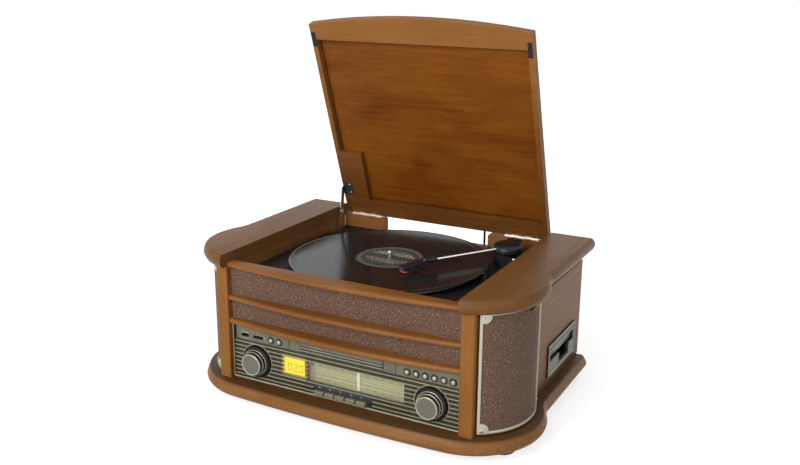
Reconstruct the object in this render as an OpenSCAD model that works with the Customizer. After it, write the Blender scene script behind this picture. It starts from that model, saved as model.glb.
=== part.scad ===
// Stereo music centre in a wooden cabinet: record player under a lid, radio with a dial,
// disc drawer in the front, cassette slot in the right side, a speaker in each front corner.
// Millimetres. +X is the cabinet's right seen from the front, the front faces -Y, +Z is up.
// The origin is on the table, under the middle. The model stands at rest with its lid open.

/* [Cabinet] */
// Half of the well's width, between the two side caps
well_half = 184.5; // [176:0.5:192]
// Distance from the well's side to the outer face of a side panel
side_w = 50.2; // [44:0.1:60]
// Thickness of the side panels and of the back board
board_t = 12; // [9:0.5:15]
// Rear face of the cabinet
rear_y = 178.5; // [176:0.5:190]
// Front face of the pilasters
pilaster_y = -159.7; // [-164:0.1:-157]
// Width of a pilaster
pilaster_w = 19.5; // [15:0.5:21]
// Depth of a pilaster
pilaster_d = 21; // [16:0.5:24]
// Front face of the control panel and of the cloth-covered board
panel_y = -150; // [-151:0.1:-149]
// Top of the base board
base_top = 36.5; // [34:0.5:37]
// Height of the feet
foot_h = 11; // [8:0.5:13]
// Radius of a foot
foot_r = 12; // [9:0.5:14]
// Distance from the well's side to the base board's side, beside the rear
base_w = 68; // [65.5:0.5:73.5]
// Radius of the base board's rounded front corners
base_lobe_r = 105.5; // [103:0.5:108]
// Front of the base board in the middle
base_front = -189; // [-192:0.5:-187]

/* [Caps] */
// Top face of the side caps
cap_top = 227.4; // [226:0.1:232]
// Underside of the cap board
cap_under = 208; // [206:0.5:210]
// Width of a cap beside the rear
cap_w = 69; // [66.5:0.5:73.5]
// Radius of a cap's rounded front corner
cap_lobe_r = 101.5; // [99:0.5:104]
// Distance of the rounded corners' centre inside the well's side
lobe_in = 21; // [19.5:0.5:22.5]
// Centre of the rounded corners, front to back
lobe_y = -73; // [-74:0.5:-71]
// Radius of the hollow curve between corner and side
lobe_fillet = 60; // [50:1:70]
// Foot of the cove under a cap
cove_z = 190; // [188:0.5:192]

/* [Speakers] */
// Outer radius of the curved grille frame
grille_r = 89; // [87:0.5:90]
// Thickness of the frame's sheet
frame_t = 1.5; // [1:0.1:2]
// Width of the frame's border
frame_w = 4; // [3:0.1:5]
// Bottom edge of the grille frame
grille_z0 = 40; // [38:0.5:44]
// Angle of the grille's front edge
grille_a0 = -61.5; // [-62:0.1:-60]
// Angle of the grille's rear edge
grille_a1 = 34; // [32:0.5:35]
// Radius of the screw tabs
tab_r = 10; // [8:0.5:12]
// Outer radius of a loudspeaker
driver_r = 39; // [34:0.5:41]
// Height of a loudspeaker's axis
driver_z = 118; // [105:1:130]

/* [Front] */
// Height of a fluted ridge's pitch on the control panel
ridge_pitch = 6.4; // [5.5:0.1:7]
// How far the rails bow out in the middle
rail_bow = 13; // [8:0.5:14]
// Front of the rails at their ends
rail_y = -158; // [-159:0.1:-155]
// Height of the top rail
top_rail_h = 8; // [6:0.5:9]
// Top of the top rail
top_rail_z = 214.5; // [213.5:0.1:214.5]
// Height of the middle slat
mid_slat_h = 7.5; // [6:0.5:9]
// Underside of the middle slat
mid_slat_z = 157; // [150:1:165]
// Height of the lower slat
low_slat_h = 8.5; // [7:0.5:9]
// Underside of the lower slat
low_slat_z = 120.5; // [120:0.5:123]

/* [Controls] */
// Distance of each big knob's axis from the well's side
knob_in = 43.8; // [40.5:0.1:46.5]
// Height of the big knobs' axis
knob_z = 68.4; // [66:0.1:71]
// Radius of a big knob's skirt
knob_skirt_r = 24; // [21:0.5:24.5]
// Radius of a big knob's metal face
knob_face_r = 15.5; // [13:0.1:17]
// How far a big knob stands out of the panel
knob_h = 18; // [14:0.5:20]
// Radius of the knob shafts
shaft_r = 3; // [2.5:0.1:4]
// Radius of a round button
button_r = 4; // [3.5:0.1:4.4]
// How far a round button stands out
button_h = 3; // [2:0.1:4]
// Height of the round buttons' axis
button_z = 105; // [104:0.1:106]
// Distance of the first of the six right-hand round buttons from the well's side
button_in = 81; // [79.5:0.1:82.5]
// Pitch of those six buttons
button_pitch = 13.5; // [12:0.1:13.8]
// Pitch of the five keys
key_pitch = 17; // [16:0.1:18]
// Height of a key
key_h = 7; // [6:0.1:7.5]
// Underside of the keys
key_z = 39.8; // [39.5:0.1:40.2]
// How far a key stands out
key_out = 6; // [4:0.5:8]
// Gap between the display and the dial window
dial_gap = 3; // [3:0.5:6]
// Distance from the dial window to the tuning knob's axis
dial_in = 41.2; // [40:0.1:50]
// Bottom of the dial window
dial_z0 = 58; // [57:0.5:60]
// Top of the dial window
dial_z1 = 86.5; // [84:0.5:87]
// Place of the dial pointer at rest
pointer_x = 27; // [20:0.5:35]
// Distance from the volume knob's axis to the display
lcd_in = 46.7; // [45:0.1:48]
// Width of the display
lcd_w = 37.5; // [34:0.5:38]
// Half width of the disc drawer's front
drawer_half = 66.5; // [65:0.5:68]
// Height of the disc drawer's front
drawer_h = 12.5; // [11:0.5:13]
// Depth of the disc drawer
drawer_d = 146; // [140:1:150]

/* [Lid] */
// Angle from closed at which the stay holds the lid
lid_open = 70.7; // [60:0.1:80]
// Gap between the lid and each side cap
lid_gap = 4; // [2.5:0.5:10]
// Depth of the lid from its rear edge to a front corner
lid_depth = 340; // [336:0.5:342]
// How far the lid's front edge bows out
lid_bow = 14; // [8:0.5:15]
// Depth of the lid's rim
lid_rim_h = 10; // [8:0.5:12]
// Thickness of the lid's top panel
lid_panel_t = 5; // [4:0.5:7]
// Width of the rim along the sides
lid_rim_w = 8; // [7:0.5:10]
// Radius of the hinge knuckles
knuckle_r = 2.5; // [2.2:0.1:2.8]
// Radius of the hinge pins
hinge_pin_r = 1.2; // [1:0.1:1.4]
// Length of a hinge
hinge_l = 56; // [50:1:60]

/* [Turntable] */
// Radius of a long-playing record
record_r = 150.8; // [150.8:0.1:150.8]
// Place of the spindle, left to right
spindle_x = -8.9; // [-10:0.1:-8]
// Place of the spindle, front to back
spindle_y = 6.8; // [5:0.1:8]
// Top of the deck plate
deck_z = 190.5; // [189:0.5:191]
// Thickness of the deck plate
deck_t = 4; // [3:0.5:5]
// Radius of the platter
platter_r = 138; // [130:1:140]
// Top of the platter
platter_z = 199.5; // [199:0.1:199.8]
// Radius of the spindle
spindle_r = 3.5; // [3.5:0.05:3.55]
// Radius of the belt's track under the platter
belt_r = 60; // [54:1:64]
// Radius of the motor pulley
pulley_r = 3; // [2.5:0.1:4]
// Place of the tonearm's pivot, left to right
arm_x = 137.6; // [136:0.1:140]
// Place of the tonearm's pivot, front to back
arm_y = 97.2; // [94:0.1:99]
// Height of the tonearm tube
arm_z = 216; // [215.5:0.1:216.5]
// Radius of the tonearm tube
arm_r = 2.2; // [1.8:0.1:2.6]
// Distance from pivot to stylus
arm_l = 175.5; // [172:0.5:177]
// Direction of the tonearm at rest, anticlockwise from +X
arm_a = 237.1; // [236:0.1:238]

/* [Cassette] */
// Front end of the cassette bezel
tape_y0 = 32; // [30:1:40]
// Length of the cassette bezel
tape_l = 118; // [112:1:120]
// Bottom of the cassette bezel
tape_z0 = 51; // [48:1:55]
// Height of the cassette bezel
tape_h = 50; // [46:1:54]

/* [Hidden] */
// Gap between pieces that move past each other
slip = 0.3;
// Gap between pieces that are fixed to each other side by side
seat = 0.2;
// Radial clearance of a shaft in its bearing
run = 0.05;
$fn = 64;

// Places along X that follow the well's width
side_x = well_half + side_w;
base_half = well_half + base_w;
cap_half = well_half + cap_w;
lobe_x = well_half - lobe_in;
lid_half = well_half - lid_gap;
knob_x = well_half - knob_in;
button_x0 = well_half - button_in;
left_button_x = 68.3 - well_half;
usb_x = 22.5 - well_half;
card_x = 42.5 - well_half;
lcd_x0 = lcd_in - knob_x;
dial_x0 = lcd_x0 + lcd_w + dial_gap;
dial_x1 = knob_x - dial_in;
hinge_places = [43 - well_half, well_half - 47];

wood = "saddlebrown";
cloth = "rosybrown";
base_z = foot_h;
// Hinge axis of the lid, and the lid's underside above it
hinge_y = rear_y - 9.2;
hinge_z = 213.1;
lid_n = 2.5;
rail_r = (well_half * well_half + rail_bow * rail_bow) / (2 * rail_bow);
lid_arc_r = (lid_half * lid_half + lid_bow * lid_bow) / (2 * lid_bow);

// Points along an arc
function arc(x, y, r, a0, a1, n) =
    [for (i = [0:n]) let (a = a0 + (a1 - a0) * i / n) [x + r * cos(a), y + r * sin(a)]];
function at_z(points, z) = [for (p = points) [p[0], p[1], z]];
function flip(points) = [for (i = [len(points) - 1:-1:0]) [-points[i][0], points[i][1]]];

// A solid skinned over rings of points that lie one above the other
module loft(rings) {
    n = len(rings[0]);
    m = len(rings);
    sides = [for (k = [0:m - 2], i = [0:n - 1]) let (j = (i + 1) % n)
        [k * n + i, (k + 1) * n + i, (k + 1) * n + j, k * n + j]];
    ends = [[for (i = [0:n - 1]) i], [for (i = [n - 1:-1:0]) (m - 1) * n + i]];
    polyhedron([for (r = rings) each r], concat(sides, ends), convexity = 6);
}

module both() {
    children();
    mirror([1, 0, 0]) children();
}

// A box given by its low and high corners
module box(a, b) {
    translate(a) cube([b[0] - a[0], b[1] - a[1], b[2] - a[2]]);
}

// A cylinder along Y, from its front face backwards
module rod_y(x, y, z, r, l) {
    translate([x, y, z]) rotate([-90, 0, 0]) cylinder(r = r, h = l);
}

// Pieces drawn on the corner speaker's axis: Z points outwards
module on_speaker_axis(distance) {
    a = (grille_a0 + grille_a1) / 2;
    translate([lobe_x + distance * cos(a), lobe_y + distance * sin(a), driver_z])
        rotate([0, 0, a]) rotate([0, 90, 0]) children();
}

// Pieces of the lid, drawn closed with the hinge axis as origin and turned open
module lid_pose() {
    translate([0, hinge_y, hinge_z]) rotate([-lid_open, 0, 0]) children();
}

// Pieces of the tonearm: +X runs from the pivot towards the stylus
module arm_pose() {
    translate([arm_x, arm_y, 0]) rotate([0, 0, arm_a]) children();
}

// ---- Base ----

// Right half of the base board's outline, drawn in by off from the widest line
function base_right(off) =
    let (r = base_lobe_r - off, s = base_half - off, k = lobe_y - base_front - off,
        big = (r * r - k * k - lobe_x * lobe_x) / (2 * (r - k)),
        yc = base_front + off + big, ta = atan2(lobe_y - yc, lobe_x),
        f = lobe_fillet + off, fa = acos((s + f - lobe_x) / (r + f)),
        fy = lobe_y + (r + f) * sin(fa), c = 6)
    concat(arc(0, yc, big, -90, ta, 8), arc(lobe_x, lobe_y, r, ta + 6, fa, 18),
        arc(s + f, fy, f, 174 + fa, 180, 4), arc(s - c, rear_y - off - c, c, 0, 90, 4));
function base_ring(off) = let (p = base_right(off))
    concat(p, [for (q = flip(p)) if (q[0] < -0.01) q]);

module base_plinth() {
    profile = [[4.6, base_z], [1.4, base_z + 5], [0, base_top - 15.7], [0.9, base_top - 10],
        [2.8, base_top - 5.3], [4.4, base_top - 2], [5.9, base_top]];
    color(wood) loft([for (q = profile) at_z(base_ring(q[0]), q[1])]);
}

module feet() {
    color("black") both() for (y = [lobe_y - 6, rear_y - 40])
        translate([lobe_x + 62, y, 0]) {
            cylinder(r1 = foot_r - 1.5, r2 = foot_r, h = 3);
            translate([0, 0, 3]) cylinder(r = foot_r, h = base_z - 3);
        }
}

// ---- Cabinet walls ----

module side_panel() {
    box([side_x - board_t, lobe_y + 52, base_top], [side_x, rear_y, cove_z]);
}

// Outer side panels, and the boards on edge that line the well and carry the deck
module side_panels() {
    color(wood) {
        mirror([1, 0, 0]) side_panel();
        difference() {
            side_panel();
            box([side_x - board_t - 1, tape_y0 + 4, tape_z0 + 4],
                [side_x + 1, tape_y0 + tape_l - 4, tape_z0 + tape_h - 4]);
        }
        both() {
            box([well_half, lobe_y - 45, deck_z - 24], [well_half + board_t, rear_y - board_t,
                cap_under]);
            box([well_half, panel_y + 12, deck_z - 24], [well_half + 8, lobe_y - 44, cap_under]);
            box([well_half - 8, panel_y + 12, deck_z - deck_t - 14],
                [well_half + 1, rear_y - board_t - 62, deck_z - deck_t]);
            // posts that stand on the base board behind the speakers
            for (y = [-44, rear_y - board_t - 16]) box([well_half, y, base_top],
                [well_half + board_t, y + 16, deck_z - 23]);
        }
    }
}

module pilasters() {
    x0 = well_half - 1;
    color(wood) both() translate([0, 0, base_top]) linear_extrude(cap_under - base_top)
        polygon(concat(arc(x0 + pilaster_w - 3, pilaster_y + 3, 3, -90, 0, 4),
            [[x0 + pilaster_w, pilaster_y + pilaster_d], [x0, pilaster_y + pilaster_d]],
            arc(x0 + 1.5, pilaster_y + 1.5, 1.5, 180, 270, 3)));
}

// Right cap's outline, drawn in by off; its rear edge is drawn in by rear
function cap_ring(off, rear) =
    let (r = cap_lobe_r - off, s = cap_half - off, f = lobe_fillet + off,
        fa = acos((s + f - lobe_x) / (r + f)), fy = lobe_y + (r + f) * sin(fa), c = 4)
    concat(arc(lobe_x, lobe_y, r, -acos((well_half - lobe_x) / r), fa, 22),
        arc(s + f, fy, f, 175 + fa, 180, 5), arc(s - c, rear_y - rear - c, c, 0, 90, 3),
        [[well_half, rear_y - rear]]);

module side_caps() {
    mid = cap_top - 11.6;
    profile = [[18.7, cove_z, 0], [11.7, cove_z + 9, 0], [5, cap_under, 0], [3, cap_under + 2.6, 0],
        [0, mid, 0], [1, mid + 4.7, 1], [2.6, mid + 8.5, 2.6], [5, cap_top - 0.8, 5],
        [8.7, cap_top, 8.7]];
    color(wood) both() difference() {
        loft([for (q = profile) at_z(cap_ring(q[0], q[2]), q[1])]);
        // the moulding fades out towards the speaker, and is hollow behind
        rotate([90, 0, 90]) linear_extrude(400) polygon([[-300, cove_z - 9],
            [lobe_y + 51, cove_z - 9], [lobe_y + 68, cap_under], [-300, cap_under]]);
        box([0, -300, 0], [side_x - board_t, 300, cap_under]);
    }
}

// Back board with the two raised parts that carry the hinges
module back_board() {
    top = hinge_z - 1.2;
    low = deck_z - 1;
    r = 4;
    gap_l = -106.3;
    gap_r = 81.2;
    w = side_x - board_t - seat;
    outline = concat([[-w, base_top], [w, base_top], [w, cove_z - 4], [well_half - seat, cove_z - 4],
        [well_half - seat, top]], arc(gap_r + r, top - r, r, 90, 180, 5), [[gap_r, low], [gap_l, low]],
        arc(gap_l - r, top - r, r, 0, 90, 5),
        [[seat - well_half, top], [seat - well_half, cove_z - 4], [-w, cove_z - 4]]);
    color(wood) difference() {
        translate([0, rear_y, 0]) rotate([90, 0, 0]) linear_extrude(board_t) polygon(outline);
        for (x = hinge_places) {
            box([x - hinge_l / 2 - seat, rear_y - board_t - 1, hinge_z - knuckle_r - seat],
                [x + hinge_l / 2 + seat, rear_y + 1, top + 1]);
        }
        // opening for the plate with the sockets, and air slots
        box([sock_x - 60, rear_y - board_t - 1, 55], [sock_x + 60, rear_y + 1, 85]);
        for (i = [0:7]) box([20 + i * 10, rear_y - board_t - 1, 60], [24 + i * 10, rear_y + 1, 100]);
    }
}
sock_x = -90;
aerial_x = 66;
aerial_y = rear_y + 11.5;
aerial_z = 150;

// Black plate with the mains inlet and two line sockets, and the aerial's bracket
module rear_sockets() {
    color("black") {
        difference() {
            union() {
                box([sock_x - 66, rear_y + 0.05, 49], [sock_x + 66, rear_y + 2, 91]);
                box([sock_x - 59, rear_y - board_t - 8, 56], [sock_x + 59, rear_y + 1, 84]);
            }
            box([sock_x - 57, rear_y - board_t - 9, 58], [sock_x + 57, rear_y - 1.5, 82]);
            box([sock_x - 50, rear_y - 3, 62], [sock_x - 32, rear_y + 3, 78]);
            for (x = [20, 42]) rod_y(sock_x + x, rear_y - 3, 70, 3, 6);
        }
        difference() {
            box([sock_x - 52, rear_y - 20, 60], [sock_x - 30, rear_y - 1, 80]);
            box([sock_x - 50, rear_y - 18, 62], [sock_x - 32, rear_y + 3, 78]);
        }
        for (x = [20, 42]) difference() {
            rod_y(sock_x + x, rear_y - 8, 70, 5, 15);
            rod_y(sock_x + x, rear_y - 7, 70, 3, 15);
        }
        // bracket of the aerial, with its boss, pin and pin head
        box([aerial_x - 9, rear_y + 0.05, aerial_z - 12], [aerial_x + 9, rear_y + 2.5, aerial_z + 12]);
        rod_y(aerial_x, rear_y + 2.4, aerial_z, 3.4, aerial_y - 3.1 - rear_y - 2.4);
        rod_y(aerial_x, aerial_y - 4, aerial_z, 1.5, 8);
        rod_y(aerial_x, aerial_y + 3.1, aerial_z, 2.6, 1);
    }
}

// Slim rod that folds down sideways on its pin, in three thinner and thinner lengths
module aerial() {
    color("dimgray") translate([aerial_x, aerial_y, aerial_z]) {
        difference() {
            rod_y(0, -3, 0, 3.6, 6);
            rod_y(0, -5, 0, 1.5 + run, 10);
        }
        translate([0, 0, 3]) cylinder(r = 1.9, h = 60);
        translate([0, 0, 62]) cylinder(r = 1.5, h = 50);
        translate([0, 0, 111]) cylinder(r = 1.1, h = 36);
        translate([0, 0, 146]) cylinder(r = 2, h = 5);
    }
}

// ---- Front ----

module front_board() {
    color(cloth) box([seat - well_half + 1, panel_y, low_slat_z - 1],
        [well_half - 1 - seat, panel_y + 5, top_rail_z - top_rail_h - seat]);
}

// A rail with a round nose that bows forward; its rear is cut flat at back_y
module bowed_rail(z, h, back_y) {
    intersection() {
        translate([0, rail_y - rail_bow + rail_r, 0]) rotate([0, 0, -90 - 9])
            rotate_extrude(angle = 18, $fn = 720)
                polygon(concat([[rail_r - 40, z]], arc(rail_r - 3, z + 3, 3, -90, 0, 4),
                    arc(rail_r - 3, z + h - 3, 3, 0, 90, 4), [[rail_r - 40, z + h]]));
        box([seat - well_half + 1, -300, z - 1], [well_half - 1 - seat, back_y, z + h + 1]);
    }
}

module front_rails() {
    color(wood) {
        bowed_rail(top_rail_z - top_rail_h, top_rail_h, panel_y + 5.5);
        bowed_rail(mid_slat_z, mid_slat_h, panel_y - 0.05);
        bowed_rail(low_slat_z, low_slat_h, panel_y - 0.05);
    }
}

// ---- Corner speakers ----

// A curved sheet on the speaker's corner, between two radii, heights and angles
module corner_sheet(r0, r1, z0, z1, a0, a1) {
    translate([lobe_x, lobe_y, 0]) rotate([0, 0, a0])
        rotate_extrude(angle = a1 - a0, $fn = 180)
            polygon([[r0, z0], [r1, z0], [r1, z1], [r0, z1]]);
}

module speaker_baffles() {
    half = grille_r * sin((grille_a1 - grille_a0) / 2) - 13;
    color("dimgray") both() difference() {
        on_speaker_axis(45) box([driver_z - cove_z + 2, -half, 0], [driver_z - base_top, half, 10]);
        on_speaker_axis(40) cylinder(r = driver_r - 5, h = 20);
    }
}

module grille_cloths() {
    color(cloth) both() corner_sheet(grille_r - frame_t - 4, grille_r - frame_t - 0.1,
        grille_z0 + 1, cap_under - 1, grille_a0 + 0.6, grille_a1 - 0.6);
}

module grille_frames() {
    da = frame_w / grille_r * 57.3;
    r0 = grille_r - frame_t;
    color("wheat") both() {
        difference() {
            corner_sheet(r0, grille_r, grille_z0, cap_under - seat, grille_a0, grille_a1);
            corner_sheet(r0 - 1, grille_r + 1, grille_z0 + frame_w, cap_under - frame_w - seat,
                grille_a0 + da, grille_a1 - da);
        }
        for (z = [grille_z0 + frame_w + 1, cap_under - frame_w - 1])
            intersection() {
                corner_sheet(r0, grille_r, grille_z0 + 0.5, cap_under - 1, grille_a0, grille_a0 + 12);
                translate([lobe_x, lobe_y, z]) rotate([0, 0, grille_a0 + 1.5 * da])
                    rotate([0, 90, 0]) cylinder(r = tab_r, h = grille_r + 5);
            }
    }
}

module speaker_drivers() {
    color("darkslategray") both() on_speaker_axis(45 - seat) rotate([180, 0, 0]) {
        rotate_extrude() polygon([[driver_r - 6, 0], [driver_r, 0], [driver_r, 2],
            [driver_r - 5, 2], [15, 20], [15, 16], [driver_r - 8, 1.4]]);
        translate([0, 0, 20]) cylinder(r = 22, h = 12);
        translate([0, 0, 15.9]) cylinder(r = 15, h = 4.2);
    }
}

// ---- Control panel ----

function round_button_x(i) = i < 2 ? left_button_x + 13.9 * i : button_x0 + button_pitch * (i - 2);

module control_panel() {
    t = 3;
    top = low_slat_z - 1 - seat;
    w = well_half - 1 - seat;
    color("darkkhaki") difference() {
        union() {
            box([-w, panel_y, base_top + seat], [w, panel_y + t, top]);
            for (z = [base_top + 6.5:ridge_pitch:96])
                translate([-w + 3, panel_y, z]) rotate([90, 0, 90])
                    linear_extrude(2 * w - 6) polygon([[0.5, -1.6], [-1.2, -0.8], [-1.2, 0.8],
                        [0.5, 1.6]]);
            // raised border and the two dividers beside the drawer
            box([-w, panel_y - 1.2, base_top + seat], [w, panel_y + 1, base_top + 2.5]);
            box([-w, panel_y - 1.2, base_top + seat], [-w + 1.5, panel_y + 1, top]);
            for (x = [-drawer_half - 19.5, drawer_half + 18.5]) box([x - 1, panel_y - 1.2, 98], [x + 1, panel_y + 1, top]);
        }
        // openings for the dial, the display, the keys, the drawer and the two sockets
        box([dial_x0, panel_y - 5, dial_z0], [dial_x1, panel_y + 5, dial_z1]);
        box([lcd_x0, panel_y - 5, 61], [lcd_x0 + lcd_w, panel_y + 5, 86.5]);
        box([-2.5 * key_pitch - 1, panel_y - 5, key_z - slip],
            [2.5 * key_pitch + 1, panel_y + 5, key_z + key_h + slip]);
        box([-2.5 * key_pitch - 2, panel_y - 5, key_z + key_h + slip],
            [2.5 * key_pitch + 8, panel_y + 0.01, key_z + key_h + 8.5]);
        box([-drawer_half - slip, panel_y - 5, 100 - slip],
            [drawer_half + slip, panel_y + 5, 100 + drawer_h + slip]);
        box([usb_x - 6.5, panel_y - 5, 102], [usb_x + 6.5, panel_y + 5, 107.5]);
        box([card_x - 6, panel_y - 5, 102.5], [card_x + 12, panel_y + 5, 107]);
        for (i = [0:7]) rod_y(round_button_x(i), panel_y - 5, button_z, button_r + slip, 10);
        for (x = [-knob_x, knob_x]) {
            rod_y(x, panel_y - 5, knob_z, shaft_r + slip, 10);
            rod_y(x, panel_y - 5, knob_z, knob_skirt_r + 1, 5);
        }
    }
}

module lcd_display() {
    color("gold") box([lcd_x0 + seat, panel_y + 0.4, 61 + seat],
        [lcd_x0 + lcd_w - seat, panel_y + 7, 86.5 - seat]);
}

module dial_glass() {
    color("honeydew") box([dial_x0 + seat, panel_y + 0.3, dial_z0 + seat],
        [dial_x1 - seat, panel_y + 2.2, dial_z1 - seat]);
}

// Lit scale plate, with the ledge that the pointer's slider runs on
module dial_scale() {
    color("palegoldenrod") {
        box([dial_x0 - 2.5, panel_y + 5, dial_z0 - 3], [dial_x1 + 4, panel_y + 6.6, dial_z1 + 4.5 - run]);
        box([dial_x0 - 2.5, panel_y + 6, dial_z1 + 2.5], [dial_x1 + 4, panel_y + 12.5, dial_z1 + 4.5 - run]);
        box([dial_x0 - 2.5, panel_y + 11.3, dial_z1 + 2.5], [dial_x1 + 4, panel_y + 12.5, dial_z1 + 7]);
        // feet that reach the panel's rear face at both ends
        for (x = [dial_x0 - 2.5, dial_x1 + 1]) box([x, panel_y + 3, dial_z0 - 3],
            [x + 3, panel_y + 5.5, dial_z1 + 4]);
    }
}

module dial_pointer() {
    color("white") {
        box([pointer_x - 1.6, panel_y + 3.3, dial_z0 + 1], [pointer_x + 1.6, panel_y + 4.6, dial_z1 + 6]);
        box([pointer_x - 5, panel_y + 3.3, dial_z1 + 4.5], [pointer_x + 5, panel_y + 11, dial_z1 + 6]);
    }
}

// A big knob, its axis along Y: skirt, waist and metal face turned as one piece
module knob() {
    front = knob_h;
    translate([0, panel_y, knob_z]) rotate([90, 0, 0]) {
        rotate_extrude() polygon([[0, 1], [knob_skirt_r, 1], [knob_skirt_r, 4], [knob_skirt_r - 2, 6.5],
            [knob_face_r + 3.6, 7.2], [knob_face_r + 3, 11.5], [knob_face_r + 1.2, 12],
            [knob_face_r + 1, front - 1.2], [knob_face_r, front], [knob_face_r - 1.6, front],
            [knob_face_r - 2, front - 0.7], [0, front - 0.7]]);
        translate([0, 0, -14]) cylinder(r = shaft_r, h = 15.5);
    }
}

module volume_knob() {
    color("dimgray") translate([-knob_x, 0, 0]) knob();
}

module tuning_knob() {
    color("dimgray") translate([knob_x, 0, 0]) knob();
}

module key(i) {
    x = (i - 3) * key_pitch;
    w = key_pitch - 1.5;
    color("darkgoldenrod") translate([x - w / 2, 0, 0]) {
        difference() {
            translate([0, panel_y - key_out, 0]) rotate([90, 0, 90]) linear_extrude(w)
                polygon(concat([[key_out + 8, key_z], [key_out + 8, key_z + key_h]],
                    arc(1.5, key_z + key_h - 1.5, 1.5, 90, 180, 3), arc(0.8, key_z + 0.8, 0.8, 180, 270, 3)));
            box([1.2, panel_y - key_out + 1.2, key_z + key_h - 0.5],
                [w - 1.2, panel_y - 1.5, key_z + key_h + 1]);
        }
    }
}
module key_1() { key(1); }
module key_2() { key(2); }
module key_3() { key(3); }
module key_4() { key(4); }
module key_5() { key(5); }

module round_button(i) {
    color("silver") translate([round_button_x(i - 1), panel_y, button_z]) rotate([90, 0, 0])
        rotate_extrude() polygon([[0, -6], [button_r + 1, -6], [button_r + 1, -5], [button_r, -5],
            [button_r, button_h - 1], [button_r - 0.8, button_h - 0.2], [button_r * 0.5, button_h],
            [0, button_h]]);
}
module button_1() { round_button(1); }
module button_2() { round_button(2); }
module button_3() { round_button(3); }
module button_4() { round_button(4); }
module button_5() { round_button(5); }
module button_6() { round_button(6); }
module button_7() { round_button(7); }
module button_8() { round_button(8); }

// ---- Works behind the front ----

module circuit_boards() {
    y = panel_y + 14;
    color("darkgreen") {
        // front boards with the sockets, behind the panel
        box([8.5 - well_half, y, 45], [106.5 - well_half, y + 1.6, 112]);
        box([well_half - 106.5, y, 92], [well_half - 6.5, y + 1.6, 112]);
        box([well_half - 80.5, y, 45], [well_half - 6.5, y + 1.6, 93]);
        for (x = [-knob_x, knob_x]) difference() {
            rod_y(x, y - 9, knob_z, 9, 9);
            rod_y(x, y - 10, knob_z, shaft_r + run, 10);
        }
        for (s = [[usb_x - 6.5, usb_x + 6.5, 102], [card_x - 6, card_x + 12, 102.5]]) difference() {
            box([s[0] - 1, panel_y + 3 + seat, s[2] - 1], [s[1] + 1, y, s[2] + 6.5]);
            box([s[0], panel_y, s[2]], [s[1], y - 1, s[2] + 5]);
        }
        // main board on short pillars
        box([-180, 8, base_top + 8], [-20, 130, base_top + 9.6]);
        for (x = [-172, -28], yy = [16, 122]) translate([x, yy, base_top]) cylinder(r = 3, h = 8);
        for (x = [-160:22:-50]) translate([x, 60, base_top + 9.5]) cylinder(r = 7, h = 20);
        // transformer on its own foot plate
        box([10, 90, base_top + 2.9], [70, 140, base_top + 48]);
        box([0, 95, base_top], [80, 135, base_top + 3]);
        box([18, 78, base_top + 12], [62, 152, base_top + 39]);
    }
}

module cd_mechanism() {
    y0 = panel_y + 10;
    color("dimgray") {
        difference() {
            box([-drawer_half - 9, y0, 94], [drawer_half + 9, y0 + 152, 118]);
            box([-drawer_half - slip, y0 - 1, 100 - slip], [drawer_half + slip, y0 + 160, 100 + drawer_h + slip]);
            box([-drawer_half + 8, y0 + 20, 97], [drawer_half - 8, y0 + 132, 130]);
        }
        for (x = [-drawer_half - 6, drawer_half + 6], y = [y0 + 10, y0 + 140])
            translate([x, y, base_top]) cylinder(r = 3, h = 94 - base_top);
    }
}

// Disc drawer: a tray with a round well for the disc, and its front
module cd_drawer() {
    z = 100;
    color("darkkhaki") difference() {
        union() {
            box([-drawer_half, panel_y - 1, z], [drawer_half, panel_y + 2.5, z + drawer_h]);
            box([-drawer_half, panel_y + 2.5, z], [drawer_half, panel_y + drawer_d, z + 8]);
        }
        translate([0, panel_y + 4 + 60.5, z + 2.5]) cylinder(r = 60.5, h = 20);
        translate([0, panel_y + 4 + 60.5, z - 1]) cylinder(r = 20, h = 20);
        box([-15, panel_y + 64, z - 1], [15, panel_y + 125, z + 20]);
    }
}

// ---- Cassette ----

module cassette_bezel() {
    y1 = tape_y0 + tape_l;
    z1 = tape_z0 + tape_h;
    color("silver") difference() {
        union() {
            box([side_x + 0.05, tape_y0, tape_z0], [side_x + 2, y1, z1]);
            box([side_x - 5, tape_y0 + 4.3, tape_z0 + 4.3], [side_x + 1, y1 - 4.3, z1 - 4.3]);
        }
        // slot for the cassette and the finger notch under it
        box([side_x - 6, tape_y0 + 7, z1 - 27], [side_x + 3, y1 - 7, z1 - 9]);
        box([side_x - 6, tape_y0 + 48, z1 - 43], [side_x + 3, tape_y0 + 92, z1 - 20]);
        // bearings of the flap
        rod_y(side_x - 3.2, tape_y0 + 5.5, z1 - 11, 1.2 + run, tape_l - 11);
    }
}

module cassette_flap() {
    z1 = tape_z0 + tape_h;
    color("slategray") {
        box([side_x - 4, tape_y0 + 7 + slip, z1 - 25], [side_x - 2.4, tape_y0 + tape_l - 7 - slip,
            z1 - 11.5]);
        rod_y(side_x - 3.2, tape_y0 + 5.8, z1 - 11, 1.2, tape_l - 11.6);
    }
}

module cassette_mechanism() {
    z1 = tape_z0 + tape_h;
    x0 = side_x - board_t - 76;
    x1 = side_x - board_t - seat;
    color("dimgray") {
        difference() {
            box([x0, tape_y0 + 1, z1 - 33], [x1, tape_y0 + tape_l - 1, z1 - 2]);
            box([x0 + 4, tape_y0 + 5, z1 - 27], [x1 + 1, tape_y0 + tape_l - 5, z1 - 7.5]);
        }
        box([x0 + 4, tape_y0 + 8, base_top], [x1 - 8, tape_y0 + 20, z1 - 33]);
        box([x0 + 4, tape_y0 + tape_l - 20, base_top], [x1 - 8, tape_y0 + tape_l - 8, z1 - 33]);
        for (y = [tape_y0 + 38, tape_y0 + 80]) translate([x0 + 30, y, z1 - 27.1]) cylinder(r = 4, h = 8);
    }
}

// ---- Turntable ----

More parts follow.
